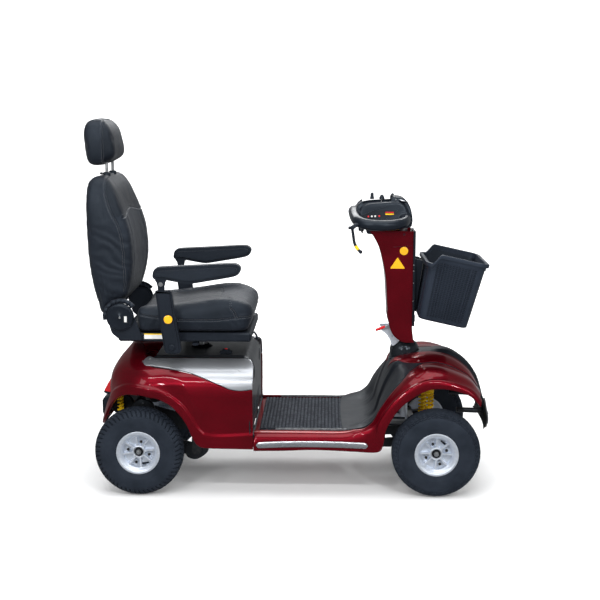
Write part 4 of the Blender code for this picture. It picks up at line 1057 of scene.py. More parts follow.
def thread(tree, path, normal, offset, gap=0.0062, size=0.00075, lift=0.0002):
    """Row of stitches beside a seam, lying on the surface."""
    along = np.gradient(path, axis=0)
    along /= np.maximum(np.linalg.norm(along, axis=1), 1e-9)[:, None]
    side = np.cross(normal, along)
    line = path + side * offset
    length = np.concatenate([[0], np.cumsum(np.linalg.norm(np.diff(line, axis=0), axis=1))])
    bm = bmesh.new()
    base = bmesh.new()
    bmesh.ops.create_icosphere(base, subdivisions=1, radius=1.0)
    shape = bpy.data.meshes.new("stitch")
    base.to_mesh(shape)
    base.free()
    for at in np.arange(gap, length[-1] - gap, gap):
        middle = Vector([float(np.interp(at, length, line[:, k])) for k in range(3)])
        ahead = Vector([float(np.interp(at + 0.002, length, line[:, k])) for k in range(3)]) - middle
        spot, face, _, _ = tree.find_nearest(middle)
        if ahead.length < 1e-6:
            continue
        turn = ahead.to_track_quat("X", "Z").to_matrix().to_4x4()
        place = Matrix.Translation(spot + face * lift) @ turn @ Matrix.Diagonal((gap * 0.34, size, size, 1))
        count = len(bm.verts)
        bm.from_mesh(shape)
        bm.verts.ensure_lookup_table()
        bmesh.ops.transform(bm, matrix=place, verts=bm.verts[count:])
    return done(bm, recalc=False)


def upholster(name, mesh, seams, body, node, cap, panel=None, wrinkle=0.001, creases=(), voxel=0.006,
              keep=None):
    """Finish a soft piece: puff it, then add folds, seams with their stitches, and the second leather."""
    lines = np.vstack([dense(points, 0.004, closed) for points, closed in seams])
    near = neighbours(project(surface(mesh), lines)[0])

    def pins(point):
        weight = 1.0 - min(near.find(point)[2] / 0.009, 1.0)
        if keep is not None:
            weight = max(weight, keep(point))
        return weight

    mesh = puffed(mesh, pins, cap, voxel)
    obj = placed("work", mesh)
    mod = obj.modifiers.new("Subdivision", "SUBSURF")
    mod.levels = 1
    mod.render_levels = 1
    mesh = baked(obj)
    tree = surface(mesh)
    paths = [project(tree, dense(points, 0.0025, closed)) for points, closed in seams]
    near = neighbours(np.vstack([p for p, _ in paths]))
    co = np.array([v.co for v in mesh.vertices])
    no = np.array([v.normal for v in mesh.vertices])
    gap = np.array([near.find(p)[2] for p in co])
    dip = -0.0026 * np.exp(-(gap / 0.003) ** 2) + 0.0011 * np.exp(-((gap - 0.0075) / 0.0045) ** 2)
    fold = np.zeros(len(co))
    seed = Vector((3.1, 7.7, 1.3))
    for index, point in enumerate(co):
        p = Vector(point)
        pull = math.exp(-gap[index] / 0.03)
        value = noise.noise(p * 26 + seed) * 0.55 + noise.noise(p * 61 + seed) * 0.25
        fold[index] = value * wrinkle * (0.55 + 1.3 * pull)
    for middle, direction, reach, period, depth in creases:
        direction = np.array(direction, float) / np.linalg.norm(direction)
        away = co - np.array(middle)
        along = away @ direction
        size = np.exp(-(np.linalg.norm(away, axis=1) / reach) ** 2)
        shift = np.array([noise.noise(Vector(p) * 14 + seed) for p in co]) * period * 0.9
        fold += depth * size * np.sin(2 * PI * (along + shift) / period)
    co = co + no * (dip + fold)[:, None]
    mesh.vertices.foreach_set("co", co.astype(np.float32).ravel())
    obj = show(name, mesh, LEATHER, body, node, angle=80)
    if panel is not None:
        mesh.materials.append(PANEL)
        for face in mesh.polygons:
            if panel(face.center):
                face.material_index = 1
    tree = surface(mesh)
    stitches = []
    for path, normal in paths:
        spots, facing = project(tree, path)
        for offset in (-0.0048, 0.0048):
            stitches.append(thread(tree, spots, facing, offset))
    show(name + "_stitches", joined(*stitches), THREAD, body, angle=60)


THREAD = Look("stitching", (0.055, 0.06, 0.068), 0.7, 0.0, Sheen_Weight=0.3)
THREAD.link(THREAD.ramp(THREAD.noise(900.0), (0.3, (0.04, 0.044, 0.052)), (0.7, (0.075, 0.08, 0.09))),
            "Base Color")
THREAD.bump(THREAD.noise(2400.0), 0.3, 0.0002)
THREAD = THREAD.mat

# Seat cushion
SEAT_SIDE = [(-0.556, 0.603), (-0.46, 0.6022), (-0.3, 0.6022), (-0.18, 0.603), (-0.152, 0.61),
             (-0.14, 0.635), (-0.132, 0.665), (-0.134, 0.69), (-0.152, 0.708), (-0.195, 0.7215),
             (-0.25, 0.723), (-0.33, 0.712), (-0.42, 0.699), (-0.5, 0.692), (-0.545, 0.688),
             (-0.562, 0.672), (-0.562, 0.625)]


def seat_width(x, z):
    front = np.clip((np.asarray(x) + 0.235) / 0.12, 0, 1)
    return 1 - 0.17 * front ** 2.6


mesh = pillow(np.array(SEAT_SIDE), 0.228, 0.03, 0.004, seat_width)
for vert in mesh.vertices:
    if vert.co.z > 0.66:
        x, y = vert.co.x, vert.co.y
        dish = math.exp(-((x + 0.4) / 0.19) ** 2 - (y / 0.15) ** 4)
        side = math.exp(-((abs(y) - 0.185) / 0.045) ** 2) * min(1.0, max(0.0, (-0.16 - x) / 0.1))
        vert.co.z += 0.006 * side - 0.009 * dish


def perimeter(height, half, back, front, corner):
    """Points round a seat-shaped rectangle; height(x) gives z."""
    path = []
    for x in np.linspace(back, front - corner, 9):
        path.append((x, -half * float(seat_width(x, 0))))
    for a in np.linspace(10, 80, 5):
        t = math.radians(a)
        path.append((front - corner + corner * math.sin(t), -(half * 0.86 - corner + corner * math.cos(t))
                     - 0.004))
    for y in np.linspace(-0.12, 0.12, 5):
        path.append((front + 0.002, y))
    path += [(x, -y) for x, y in path[-6::-1]]
    return [(x, y, height(x)) for x, y in path]


seam_height = table([-0.56, -0.528, -0.454, -0.37, -0.287, -0.203, -0.125],
                    [0.671, 0.666, 0.655, 0.649, 0.649, 0.656, 0.664])
side_seam = perimeter(lambda x: float(seam_height(x)), 0.23, -0.55, -0.132, 0.07)
near = [(-0.556, -0.15, 0.69), (-0.48, -0.15, 0.69), (-0.4, -0.147, 0.69), (-0.32, -0.142, 0.7),
        (-0.284, -0.135, 0.71), (-0.268, -0.11, 0.71), (-0.262, -0.05, 0.71)]
inner = near + mirrored(near[::-1])
corner = [(-0.262, -0.128, 0.715), (-0.235, -0.16, 0.7), (-0.205, -0.205, 0.68), (-0.19, -0.226, 0.656)]
other = mirrored(corner)
upholster("seat_cushion_cover", mesh, [(side_seam, False), (inner, False), (corner, False), (other, False)],
          "seat", "seat_cushion", 0.012, panel=lambda c: c.z > seam_height(c.x) + 0.004
          and abs(c.y) < 0.15 and c.x < -0.268, creases=[((-0.2, -0.236, 0.625), (1, 0, 0.4), 0.05, 0.024,
                                                          0.0008),
                                                         ((-0.48, -0.236, 0.63), (1, 0, -0.3), 0.06, 0.03,
                                                          0.0008)],
          keep=lambda p: 1.0 if p[2] < 0.6065 else 0.0)

# Backrest
BACK_SIDE = [(-0.705, 0.668), (-0.684, 0.668), (-0.66, 0.69), (-0.63, 0.715), (-0.605, 0.736),
             (-0.593, 0.77), (-0.583, 0.812), (-0.577, 0.86), (-0.578, 0.92), (-0.588, 0.985),
             (-0.606, 1.04), (-0.628, 1.1), (-0.648, 1.145), (-0.668, 1.17), (-0.7, 1.178), (-0.728, 1.17),
             (-0.742, 1.148), (-0.746, 1.1), (-0.745, 1.0), (-0.742, 0.9), (-0.734, 0.82), (-0.722, 0.76),
             (-0.709, 0.71)]


def back_width(x, z):
    z = np.asarray(z)
    return 1 - 0.24 * np.clip((z - 1.02) / 0.16, 0, 1) ** 2.2 - 0.05 * np.clip((0.8 - z) / 0.13, 0, 1) ** 2


mesh = pillow(np.array(BACK_SIDE), 0.214, 0.026, 0.004, back_width)
for vert in mesh.vertices:
    if vert.co.x > -0.66 and vert.co.z > 0.72:
        y = vert.co.y
        hollow = math.exp(-(y / 0.12) ** 4) * math.exp(-((vert.co.z - 0.93) / 0.2) ** 2)
        vert.co.x -= 0.01 * hollow
seam_x = table([0.69, 0.724, 0.799, 0.911, 0.985, 1.058, 1.122, 1.184],
               [-0.585, -0.589, -0.597, -0.603, -0.615, -0.65, -0.668, -0.674])
heights = np.linspace(0.745, 1.135, 13)
near = [(float(seam_x(z)) - 0.006, -0.218 * float(back_width(0, z)), z) for z in heights]
over = near + [(-0.676, -0.12, 1.18), (-0.676, 0.0, 1.182), (-0.676, 0.12, 1.18)] + mirrored(near[::-1])
vee = [(-0.606, -0.205, 1.028), (-0.598, -0.15, 1.036), (-0.598, -0.09, 1.046), (-0.602, 0.0, 1.056),
       (-0.598, 0.09, 1.046), (-0.598, 0.15, 1.036), (-0.606, 0.205, 1.028)]
bolster = [(-0.58, -0.14, 1.034), (-0.578, -0.143, 0.96), (-0.574, -0.147, 0.88), (-0.58, -0.147, 0.8),
           (-0.596, -0.142, 0.748)]
bolster_left = mirrored(bolster)
rear = [(-0.748, -0.185, 1.12), (-0.75, -0.19, 1.0), (-0.748, -0.19, 0.9), (-0.736, -0.188, 0.8),
        (-0.722, -0.182, 0.73)]
rear_seam = rear[::-1] + [(-0.742, -0.14, 1.15), (-0.742, 0.0, 1.155),
                          (-0.742, 0.14, 1.15)] + mirrored(rear)
upholster("backrest_cover", mesh, [(over, False), (vee, False), (bolster, False), (bolster_left, False),
                                   (rear_seam, False)], "backrest", "backrest", 0.012,
          panel=lambda c: c.x > float(seam_x(c.z)) and c.z > 1.058 - 0.12 * abs(c.y), wrinkle=0.0014,
          creases=[((-0.655, -0.226, 0.9), (0.5, 0, 1), 0.085, 0.04, 0.0014),
                   ((-0.64, -0.226, 0.79), (0.3, 0, 1), 0.06, 0.03, 0.0012),
                   ((-0.655, 0.226, 0.9), (0.5, 0, 1), 0.085, 0.04, 0.0014),
                   ((-0.7, -0.226, 0.74), (1, 0, 0.2), 0.05, 0.018, 0.0014),
                   ((-0.7, 0.226, 0.74), (1, 0, 0.2), 0.05, 0.018, 0.0014)])

# Headrest
HEAD_SIDE = [(-0.766, 1.325), (-0.764, 1.355), (-0.755, 1.376), (-0.735, 1.385), (-0.705, 1.385),
             (-0.682, 1.373), (-0.666, 1.35), (-0.657, 1.318), (-0.65, 1.285), (-0.65, 1.255),
             (-0.662, 1.238), (-0.69, 1.224), (-0.715, 1.216), (-0.742, 1.216), (-0.755, 1.232),
             (-0.761, 1.27)]


def head_width(x, z):
    z = np.asarray(z)
    return 1 - 0.2 * np.clip((z - 1.31) / 0.075, 0, 1) ** 2.4 - 0.1 * np.clip((1.26 - z) / 0.045, 0, 1) ** 2


mesh = pillow(np.array(HEAD_SIDE), 0.121, 0.024, 0.004, head_width)
heights = np.linspace(1.232, 1.372, 7)
near = [(-0.694, -0.126 * float(head_width(0, z)), z) for z in heights]
loop = near + [(-0.696, -0.07, 1.388), (-0.696, 0.0, 1.389), (-0.696, 0.07, 1.388)] + mirrored(near[::-1])
loop += [(-0.693, 0.07, 1.222), (-0.693, 0.0, 1.22), (-0.693, -0.07, 1.222)]
upholster("headrest_cover", mesh, [(loop, True)], "headrest", "headrest", 0.008,
          panel=lambda c: c.x > -0.694, wrinkle=0.0009, voxel=0.005)

# Seat fittings -----------------------------------------------------------------------------------
for side, sign in SIDES:
    disc = [(0.0, 0.2505), (0.004, 0.2505), (0.0052, 0.2512), (0.0064, 0.2505), (0.036, 0.2512),
            (0.0425, 0.2508), (0.044, 0.249), (0.0455, 0.249), (0.048, 0.248), (0.05, 0.2455),
            (0.0512, 0.242), (0.0516, 0.2348), (0.0, 0.2348)]
    mesh = lathe([(r, sign * y) for r, y in disc], 96, RECLINER)
    show("recliner_disc_" + side, mesh, SATIN, "seat", "recliner_cover_" + side, angle=35)
    screw("recliner_bolt_" + side, (-0.621, sign * 0.2515, 0.662), (0, sign, 0), 0.0042, "seat")
    tag = side_box(sign, (-0.604, -0.594), (0.2506, 0.2516), (0.645, 0.667), 0.0003)
    show("recliner_plate_" + side, tag, MARK_WHITE, "seat", angle=40)
    frill = []
    for a in np.linspace(math.radians(38), math.radians(192), 82):
        row = []
        for b in np.linspace(-0.3, PI * 1.05, 12):
            wave = 1 + 0.22 * math.sin(a * 19 + 0.5 * math.sin(a * 7)) * math.sin(max(b, 0) * 0.9)
            r = 0.0585 + 0.0085 * wave * math.cos(b)
            y = 0.2235 + 0.009 * wave * math.sin(b)
            row.append((-0.621 + r * math.cos(a), sign * y, 0.662 + r * math.sin(a)))
        frill.append(row)
    mesh = thick(sheet(frill), 0.0016, offset=0.0)
    show("recliner_frill_" + side, mesh, LEATHER, "backrest", angle=80, subdivide=1)
    for low, high, mat, kind in ((0.5775, 0.593, MARK_WHITE, "plate"), (0.5932, 0.5975, YELLOW, "stripe")):
        mesh = side_box(sign, (-0.535, -0.46), (0.2246, 0.2258), (low, high), 0.0003)
        show("pan_" + kind + "_" + side, mesh, mat, "seat", angle=40)

# Collars where the headrest bar enters the backrest
for side, y in (("right", -0.06), ("left", 0.06)):
    collar = [(0.0074, 1.17), (0.0145, 1.17), (0.015, 1.182), (0.0135, 1.186), (0.0105, 1.188),
              (0.008, 1.188), (0.0074, 1.186)]
    show("headrest_collar_" + side, lathe(collar, 40, (-0.69, y, 0), UPRIGHT, closed=True), SATIN,
         "backrest", angle=40)
show("collar_button", box((-0.716, -0.072, 1.179), (-0.703, -0.058, 1.187), 0.0025, 3), SATIN, "backrest",
     angle=40)


def soft_plate(outline, low, high, radius, samples=5, segments=5):
    """Outline smoothed, extruded in y and rounded along its rims."""
    return plate([tuple(p) for p in spline(np.array(outline), samples, True)], low, high, "Y", radius,
                 segments)


POST = [(-0.477, 0.769), (-0.45, 0.77), (-0.425, 0.769), (-0.4205, 0.76), (-0.4125, 0.705), (-0.404, 0.65),
        (-0.396, 0.6), (-0.3895, 0.56), (-0.3905, 0.545), (-0.402, 0.5362), (-0.425, 0.535),
        (-0.441, 0.537), (-0.4495, 0.548), (-0.4535, 0.57), (-0.4595, 0.61), (-0.466, 0.65), (-0.473, 0.71),
        (-0.479, 0.76)]
PAD = [(-0.486, 0.818), (-0.487, 0.832), (-0.482, 0.847), (-0.468, 0.856), (-0.43, 0.8592), (-0.33, 0.864),
       (-0.24, 0.869), (-0.2, 0.8705), (-0.181, 0.868), (-0.1695, 0.859), (-0.1675, 0.847), (-0.173, 0.835),
       (-0.186, 0.826), (-0.215, 0.819), (-0.28, 0.808), (-0.345, 0.7975), (-0.372, 0.7985), (-0.41, 0.805),
       (-0.442, 0.8105), (-0.47, 0.811)]
both("arm_post_tube", soft_plate(POST, -0.3015, -0.2675, 0.0075), BLACK, "arm_post_{}", "arm_post_{}",
     angle=60)
tab = soft_plate([(-0.47, 0.762), (-0.459, 0.76), (-0.448, 0.762), (-0.447, 0.78), (-0.448, 0.799),
                  (-0.459, 0.806), (-0.47, 0.799), (-0.471, 0.78)], -0.2898, -0.2802, 0.0012, 4, 2)
both("arm_tab", tab, BLACK, "arm_post_{}", angle=50)
both("arm_socket_bar", tube([(-0.425, -0.269, 0.5835), (-0.425, -0.081, 0.5835)], 0.0099, 32), CHROME,
     "arm_post_{}", angle=40)
lens_shape = [(0.0, -0.3062), (0.008, -0.3061), (0.013, -0.3055), (0.0156, -0.3042), (0.016, -0.3015),
              (0.0, -0.3015)]
bezel = [(0.016, -0.304), (0.0172, -0.3046), (0.0184, -0.3036), (0.0186, -0.301), (0.016, -0.301)]
both("arm_reflector", lathe(lens_shape, 64, (-0.4335, 0, 0.6655)), AMBER, "arm_post_{}", angle=50)
both("arm_reflector_ring", lathe(bezel, 64, (-0.4335, 0, 0.6655), closed=True), SATIN, "arm_post_{}",
     angle=50)
both("armrest_pad", soft_plate(PAD, -0.315, -0.255, 0.0125, 4, 6), LEATHER, "armrest_{}", "armrest_{}",
     angle=70)
CHEEK = [(-0.47, 0.785), (-0.459, 0.7815), (-0.448, 0.785), (-0.444, 0.8), (-0.437, 0.815), (-0.479, 0.815),
         (-0.474, 0.8)]
both("armrest_cheeks", joined(soft_plate(CHEEK, -0.2978, -0.2908, 0.0015, 4, 2),
                              soft_plate(CHEEK, -0.2792, -0.2722, 0.0015, 4, 2)), BLACK, "armrest_{}",
     angle=50)
bolt = joined(moved(nut(0.0062, 0.003), Matrix.Translation((-0.459, -0.2996, 0.794))),
              lathe([(0, -0.2978), (0.0078, -0.2978), (0.008, -0.2986), (0, -0.2986)], 36,
                    (-0.459, 0, 0.794)))
both("armrest_bolt", bolt, STEEL, "armrest_{}", angle=35)
both("adjust_knob", lathe([(0, -0.3085), (0.009, -0.308), (0.012, -0.306), (0.0125, -0.302), (0, -0.302)],
                          12, (-0.4225, 0, 0.56)), BLACK, "arm_post_{}", angle=25)

# Tiller ------------------------------------------------------------------------------------------
rear_edge = spline([(0.48, 0.536), (0.443, 0.5365), (0.415, 0.551), (0.396, 0.572), (0.3865, 0.596),
                    (0.38, 0.625), (0.3765, 0.666), (0.3725, 0.737), (0.368, 0.793), (0.358, 0.849),
                    (0.344, 0.9), (0.327, 0.936), (0.308, 0.9655)], 6)
COVER = [tuple(p) for p in rear_edge] + [(0.4722, 0.9668), (0.4722, 0.76), (0.4722, 0.605), (0.4745, 0.575)]
HOLLOW = [(0.314, 0.99), (0.5, 0.99), (0.5, 0.5), (0.44, 0.5), (0.419, 0.552), (0.4, 0.574),
          (0.3925, 0.597), (0.3835, 0.62), (0.3795, 0.666), (0.3755, 0.737), (0.3715, 0.793),
          (0.3615, 0.85), (0.3475, 0.901), (0.33, 0.938), (0.314, 0.96)]
cover = solid_cut(plate(COVER, -0.07, 0.07, "Y", 0.0042, 4), plate(HOLLOW, -0.0655, 0.0655),
                  box((0.33, -0.053, 0.5), (0.43, 0.053, 0.655)))
show("tiller_cover_skin", cover, RED, "tiller", "tiller_cover", angle=45, even=True)
front = [(0.4726, -0.0655), (0.4726, 0.0655), (0.476, 0.0688), (0.48, 0.068), (0.4818, 0.064),
         (0.482, 0.048), (0.4812, 0.047), (0.4812, -0.047), (0.482, -0.048), (0.4818, -0.064),
         (0.48, -0.068), (0.476, -0.0688)]
panel = plate(front, 0.6, 0.966, "Z", 0.0008, 2)
HOOK = [(0.4812, 0.655), (0.4875, 0.655), (0.489, 0.668), (0.4925, 0.7), (0.502, 0.775), (0.5115, 0.85),
        (0.5, 0.856), (0.4812, 0.858)]
hooks = [plate(HOOK, sign * 0.04 - 0.0095, sign * 0.04 + 0.0095, "Y", 0.0012, 2) for sign in (-1, 1)]
ribs = [box((0.481, y - 0.0015, 0.615), (0.4848, y + 0.0015, 0.64), 0.0005)
        for y in np.arange(-0.045, 0.046, 0.009)]
bars = [box((0.4812, -0.03, z), (0.485, 0.03, z + 0.008), 0.001) for z in (0.69, 0.76, 0.83)]
show("tiller_front_panel", joined(panel, *hooks, *ribs, *bars), BLACK, "tiller", "tiller_front_cover",
     angle=35, even=True)
for k, z in enumerate((0.8378, 0.8147, 0.7685, 0.7)):
    for side, sign in SIDES:
        screw("strip_screw_%d_%s" % (k, side), (0.4752, sign * 0.069, z), (0.1, sign, 0), 0.0024, "tiller")
for side, sign in SIDES:
    screw("cover_screw_" + side, (0.4376, sign * 0.0702, 0.9547), (0, sign, 0), 0.0042, "tiller", SATIN)
    disc = [(0.0, 0.0727), (0.01, 0.0726), (0.0145, 0.0721), (0.0158, 0.0712), (0.0158, 0.07), (0.0, 0.07)]
    show("cover_reflector_round_" + side, lathe([(r, sign * y) for r, y in disc], 64, (0.437, 0, 0.8914)),
         AMBER, "tiller", angle=50)
    corners = [(0.3848, 0.824), (0.4418, 0.824), (0.4133, 0.8672)]
    soft = []
    for i, corner in enumerate(corners):
        here = Vector(corner)
        before = (Vector(corners[i - 1]) - here).normalized() * 0.003
        after = (Vector(corners[(i + 1) % 3]) - here).normalized() * 0.003
        soft += [tuple(here + before), tuple(here + (before + after) * 0.3), tuple(here + after)]
    mesh = plate(soft, *span(sign, 0.07, 0.0724), "Y", 0.0006, 2)
    show("cover_reflector_triangle_" + side, mesh, AMBER, "tiller", angle=40)
show("cover_seam", tube([(0.395, -0.0702, 0.906), (0.43, -0.0703, 0.909), (0.468, -0.0702, 0.911)], 0.0005,
                        8), SATIN, "tiller", angle=60)

# Cast tilt bracket, its pin and the lever with a red grip
CAST_SIDE = [(0.353, 0.59), (0.392, 0.5915), (0.433, 0.59), (0.445, 0.57), (0.4565, 0.551), (0.45, 0.544),
             (0.432, 0.5425), (0.418, 0.53), (0.404, 0.519), (0.396, 0.5215), (0.39, 0.54), (0.375, 0.564),
             (0.36, 0.576)]
sides = [solid_cut(soft_plate(CAST_SIDE, sign * 0.0378 - 0.0032, sign * 0.0378 + 0.0032, 0.0009, 4, 2),
                   lathe([(0, -0.05), (0.0045, -0.05), (0.0045, 0.05), (0, 0.05)], 24, (0.4, 0, 0.556)))
         for sign in (-1, 1)]
steer = [lathe([(0.0, 0.2265), (0.015, 0.2265), (0.016, 0.228), (0.016, 0.554), (0.015, 0.556),
                (0.0, 0.556)], 48, (STEER_X, 0, 0), UPRIGHT),
         box((STEER_X - 0.082, -0.012, 0.2265), (STEER_X, 0.012, 0.2365), 0.002),
         tube([(STEER_X - 0.07, 0, 0.1965), (STEER_X - 0.07, 0, 0.23)], 0.004, 24),
         box((0.434, -0.0345, 0.5436), (0.4618, 0.0345, 0.5498), 0.0015)]
pin = [tube([(0.423, -0.0448, 0.566), (0.423, 0.0448, 0.566)], 0.0058, 28),
       lathe([(0.0, -0.047), (0.0072, -0.0468), (0.008, -0.0455), (0.008, -0.041), (0.0, -0.041)], 32,
             (0.423, 0, 0.566))]
show("tilt_bracket_cast", joined(*sides, *steer, *pin), CAST, "steering", "steering_column", angle=40)
LEVER = [(0.3375, 0.58), (0.34, 0.5868), (0.36, 0.594), (0.383, 0.603), (0.3905, 0.6), (0.39, 0.592),
         (0.383, 0.588), (0.36, 0.583)]
show("tilt_lever_blade", soft_plate(LEVER, -0.0492, -0.0424, 0.0014, 4, 3), TRIM, "tilt_lever",
     "tilt_lever", angle=50)
grip = tube([(0.3335, -0.0458, 0.5806), (0.35, -0.0458, 0.5865), (0.37, -0.0458, 0.5945)], 0.0056, 22,
            smooth=3, taper=lambda t: 1.0 - 0.25 * abs(2 * t - 1) ** 6)
show("tilt_lever_grip", grip, MARK_RED, "tilt_lever", angle=50)

# Console: pod and loop handle moulded as one -------------------------------------------------------
POD = [(0.258, 0.995), (0.266, 0.985), (0.295, 0.981), (0.4, 0.979), (0.457, 0.9795), (0.467, 0.996),
       (0.468, 1.015), (0.464, 1.04), (0.456, 1.06), (0.444, 1.075), (0.425, 1.085), (0.395, 1.0868),
       (0.35, 1.0845), (0.3, 1.08), (0.27, 1.068), (0.255, 1.05), (0.248, 1.02)]
LOOP = [(0.44, 0.0, 1.02), (0.44, 0.06, 1.018), (0.436, 0.12, 1.011), (0.418, 0.168, 1.0045),
        (0.38, 0.195, 1.001), (0.33, 0.203, 1.001), (0.285, 0.192, 1.005), (0.26, 0.16, 1.013),
        (0.25, 0.105, 1.023), (0.247, 0.05, 1.031), (0.246, 0.0, 1.034)]
LOOP += mirrored(LOOP[-2:0:-1])
loop = tube(LOOP, 0.0203, 28, closed=True, smooth=10)
pod = soft_plate(POD, -0.09, 0.09, 0.016, 4, 5)
shape = remeshed(joined(pod, loop), 0.0026, 0.7, 14)
POD_HALF = 0.09


def flank(z):
    """Half width of the pod, which narrows towards its top."""
    return POD_HALF * (1 - 0.26 * np.clip((z - 1.005) / 0.08, 0, 1))


for vert in shape.vertices:
    if abs(vert.co.y) < 0.1:
        vert.co.y *= float(flank(vert.co.z)) / POD_HALF
        vert.co.z += 0.008 * max(0.0, (vert.co.z - 1.03) / 0.055)
pocket = box((0.272, -0.06, 1.0452), (0.396, 0.06, 1.13), 0.008, 4)
show("console_pod", solid_cut(shape, pocket), SATIN, "tiller", "console", angle=50)
show("dash_panel", box((0.276, -0.056, 1.0448), (0.392, 0.056, 1.0456), 0.0003), GLOSS, "tiller", angle=40)
STRIP_SHAPE = [(0.256, 1.018), (0.3, 1.037), (0.338, 1.052), (0.39, 1.066), (0.41, 1.066), (0.409, 1.045),
               (0.368, 1.015), (0.33, 1.008), (0.2925, 1.0075)]
strip_shape = spline(STRIP_SHAPE, 5, True)
for side, sign in SIDES:
    inner = [(x, sign * (float(flank(z)) - 0.003), z) for x, z in strip_shape]
    outer = [(x, sign * (float(flank(z)) + 0.0006), z) for x, z in strip_shape]
    rim_line = tube(outer, 0.0011, 10, closed=True)
    bm = bmesh.new()
    ends = [[bm.verts.new(p) for p in ring_points] for ring_points in (inner, outer)]
    for ring_points in ends:
        bm.faces.new(ring_points)
    for k in range(len(strip_shape)):
        after = (k + 1) % len(strip_shape)
        bm.faces.new((ends[0][k], ends[0][after], ends[1][after], ends[1][k]))
    show("side_display_" + side, done(bm), GLOSS, "tiller", angle=30)
    show("side_display_rim_" + side, rim_line, SATIN, "tiller", angle=60)
    for k, (x, z, mat) in enumerate(((0.3, 1.0235, MARK_RED), (0.313, 1.024, MARK_WHITE),
                                     (0.326, 1.0245, MARK_WHITE), (0.341, 1.025, MARK_RED))):
        y = sign * (float(flank(z)) + 0.0006)
        show("side_lamp_%d_%s" % (k, side), lathe([(0, 0.001), (0.0026, 0.0009), (0.0034, 0.0), (0, 0.0)],
                                                  20, (x, y, z), (0, sign, 0.25)), mat, "tiller", angle=50)
    for k, (z, mat) in enumerate(((1.03, YELLOW), (1.0365, MARK_RED))):
        y = float(flank(z)) + 0.0004
        bar_mesh = side_box(sign, (0.364, 0.396), (y, y + 0.0008), (z, z + 0.0045), 0.0002)
        show("side_stripe_%d_%s" % (k, side), bar_mesh, mat, "tiller", angle=40)
lamps = {"mark_white_lamps": (MARK_WHITE, (-0.058, -0.034)), "mark_red_lamps": (MARK_RED, (-0.046, -0.022))}
for name, (mat, spots) in lamps.items():
    dots = [lathe([(0, 1.0476), (0.0022, 1.0475), (0.003, 1.0468), (0.003, 1.0456), (0, 1.0456)], 20,
                  (0.386, y, 0), UPRIGHT) for y in spots]
    show(name, joined(*dots), mat, "tiller", angle=50)
gauge = box((0.352, 0.012, 1.0456), (0.386, 0.058, 1.0478), 0.0008)
show("dash_gauge", gauge, CLEAR, "tiller", angle=40)
ticks = [box((0.358, 0.018 + 0.006 * k, 1.0478), (0.378, 0.0195 + 0.006 * k, 1.0481)) for k in range(6)]
show("dash_gauge_ticks", joined(*ticks), MARK_RED, "tiller", angle=40)
tick_ring = []
for a in np.radians(np.arange(-120, 121, 30)):
    tick = box((-0.0007, 0.0185, 0.0), (0.0007, 0.0225, 0.0004))
    tick_ring.append(moved(tick, Matrix.Translation((0.325, 0, 1.0456)) @ Matrix.Rotation(a, 4, "Z")))
show("dial_marks", joined(*tick_ring), MARK_WHITE, "tiller", angle=40)
knob = []
for a in np.linspace(0, 2 * PI, 72, endpoint=False):
    flute = 0.0006 * math.cos(a * 18)
    knob.append([(0.325 + r * math.cos(a), r * math.sin(a), z) for r,
                 z in ((0.0155 + flute, 1.0458), (0.0152 + flute, 1.057), (0.0142 + flute * 0.6, 1.0605),
                       (0.012, 1.062), (0.005, 1.0618), (0.0001, 1.0616))])
knob = joined(outward(sheet(knob, close_u=True), (0.325, 0, 1.05)),
              box((0.3232, -0.0135, 1.0612), (0.3268, 0.0135, 1.0672), 0.0012))
show("speed_knob", knob, BLACK, "dial", "speed_dial", angle=45)
show("knob_pointer", box((0.3244, 0.006, 1.0668), (0.3256, 0.013, 1.0676)), MARK_WHITE, "dial", angle=40)
key = joined(tube([(0.35, -0.045, 1.046), (0.35, -0.045, 1.058)], 0.0038, 20),
             solid_cut(box((0.3489, -0.0548, 1.0562), (0.3511, -0.0352, 1.08), 0.0009),
                       tube([(0.34, -0.045, 1.074), (0.36, -0.045, 1.074)], 0.0032, 20)))
show("key_blade", key, STEEL, "key", "ignition_key", angle=40)
show("key_bezel", lathe([(0.0045, 1.0456), (0.0085, 1.0456), (0.0088, 1.0478), (0.0075, 1.0488),
                         (0.0045, 1.0488)], 36, (0.35, -0.045, 0), UPRIGHT, closed=True), CHROME, "tiller",
     angle=40)
button = [(0.0, 1.0524), (0.005, 1.0522), (0.0072, 1.0512), (0.008, 1.0498), (0.008, 1.0404), (0.0, 1.0404)]
show("horn_cap", lathe(button, 40, (0.29, 0.045, 0), UPRIGHT), YELLOW, "horn", "horn_button", angle=40)
ring = [(0.014, -0.001), (0.018, -0.001), (0.0188, 0.0008), (0.0175, 0.0026), (0.015, 0.0024),
        (0.014, 0.0012)]
show("console_lens_ring", lathe(ring, 48, (0.4325, -0.052, 1.08), (0.28, 0, 1), closed=True), TRIM,
     "tiller", angle=50)
show("console_lens", lathe([(0, 0.0014), (0.009, 0.0012), (0.014, 0.0002), (0.014, -0.001), (0, -0.001)],
                           40, (0.4325, -0.052, 1.08), (0.28, 0, 1)), GLOSS, "tiller", angle=50)
show("dash_bar", tube([(0.404, -0.06, 1.0862), (0.4055, -0.02, 1.0872), (0.4055, 0.02, 1.0872),
                       (0.404, 0.06, 1.0862)], 0.0026, 16, smooth=4), TRIM, "tiller", angle=60)
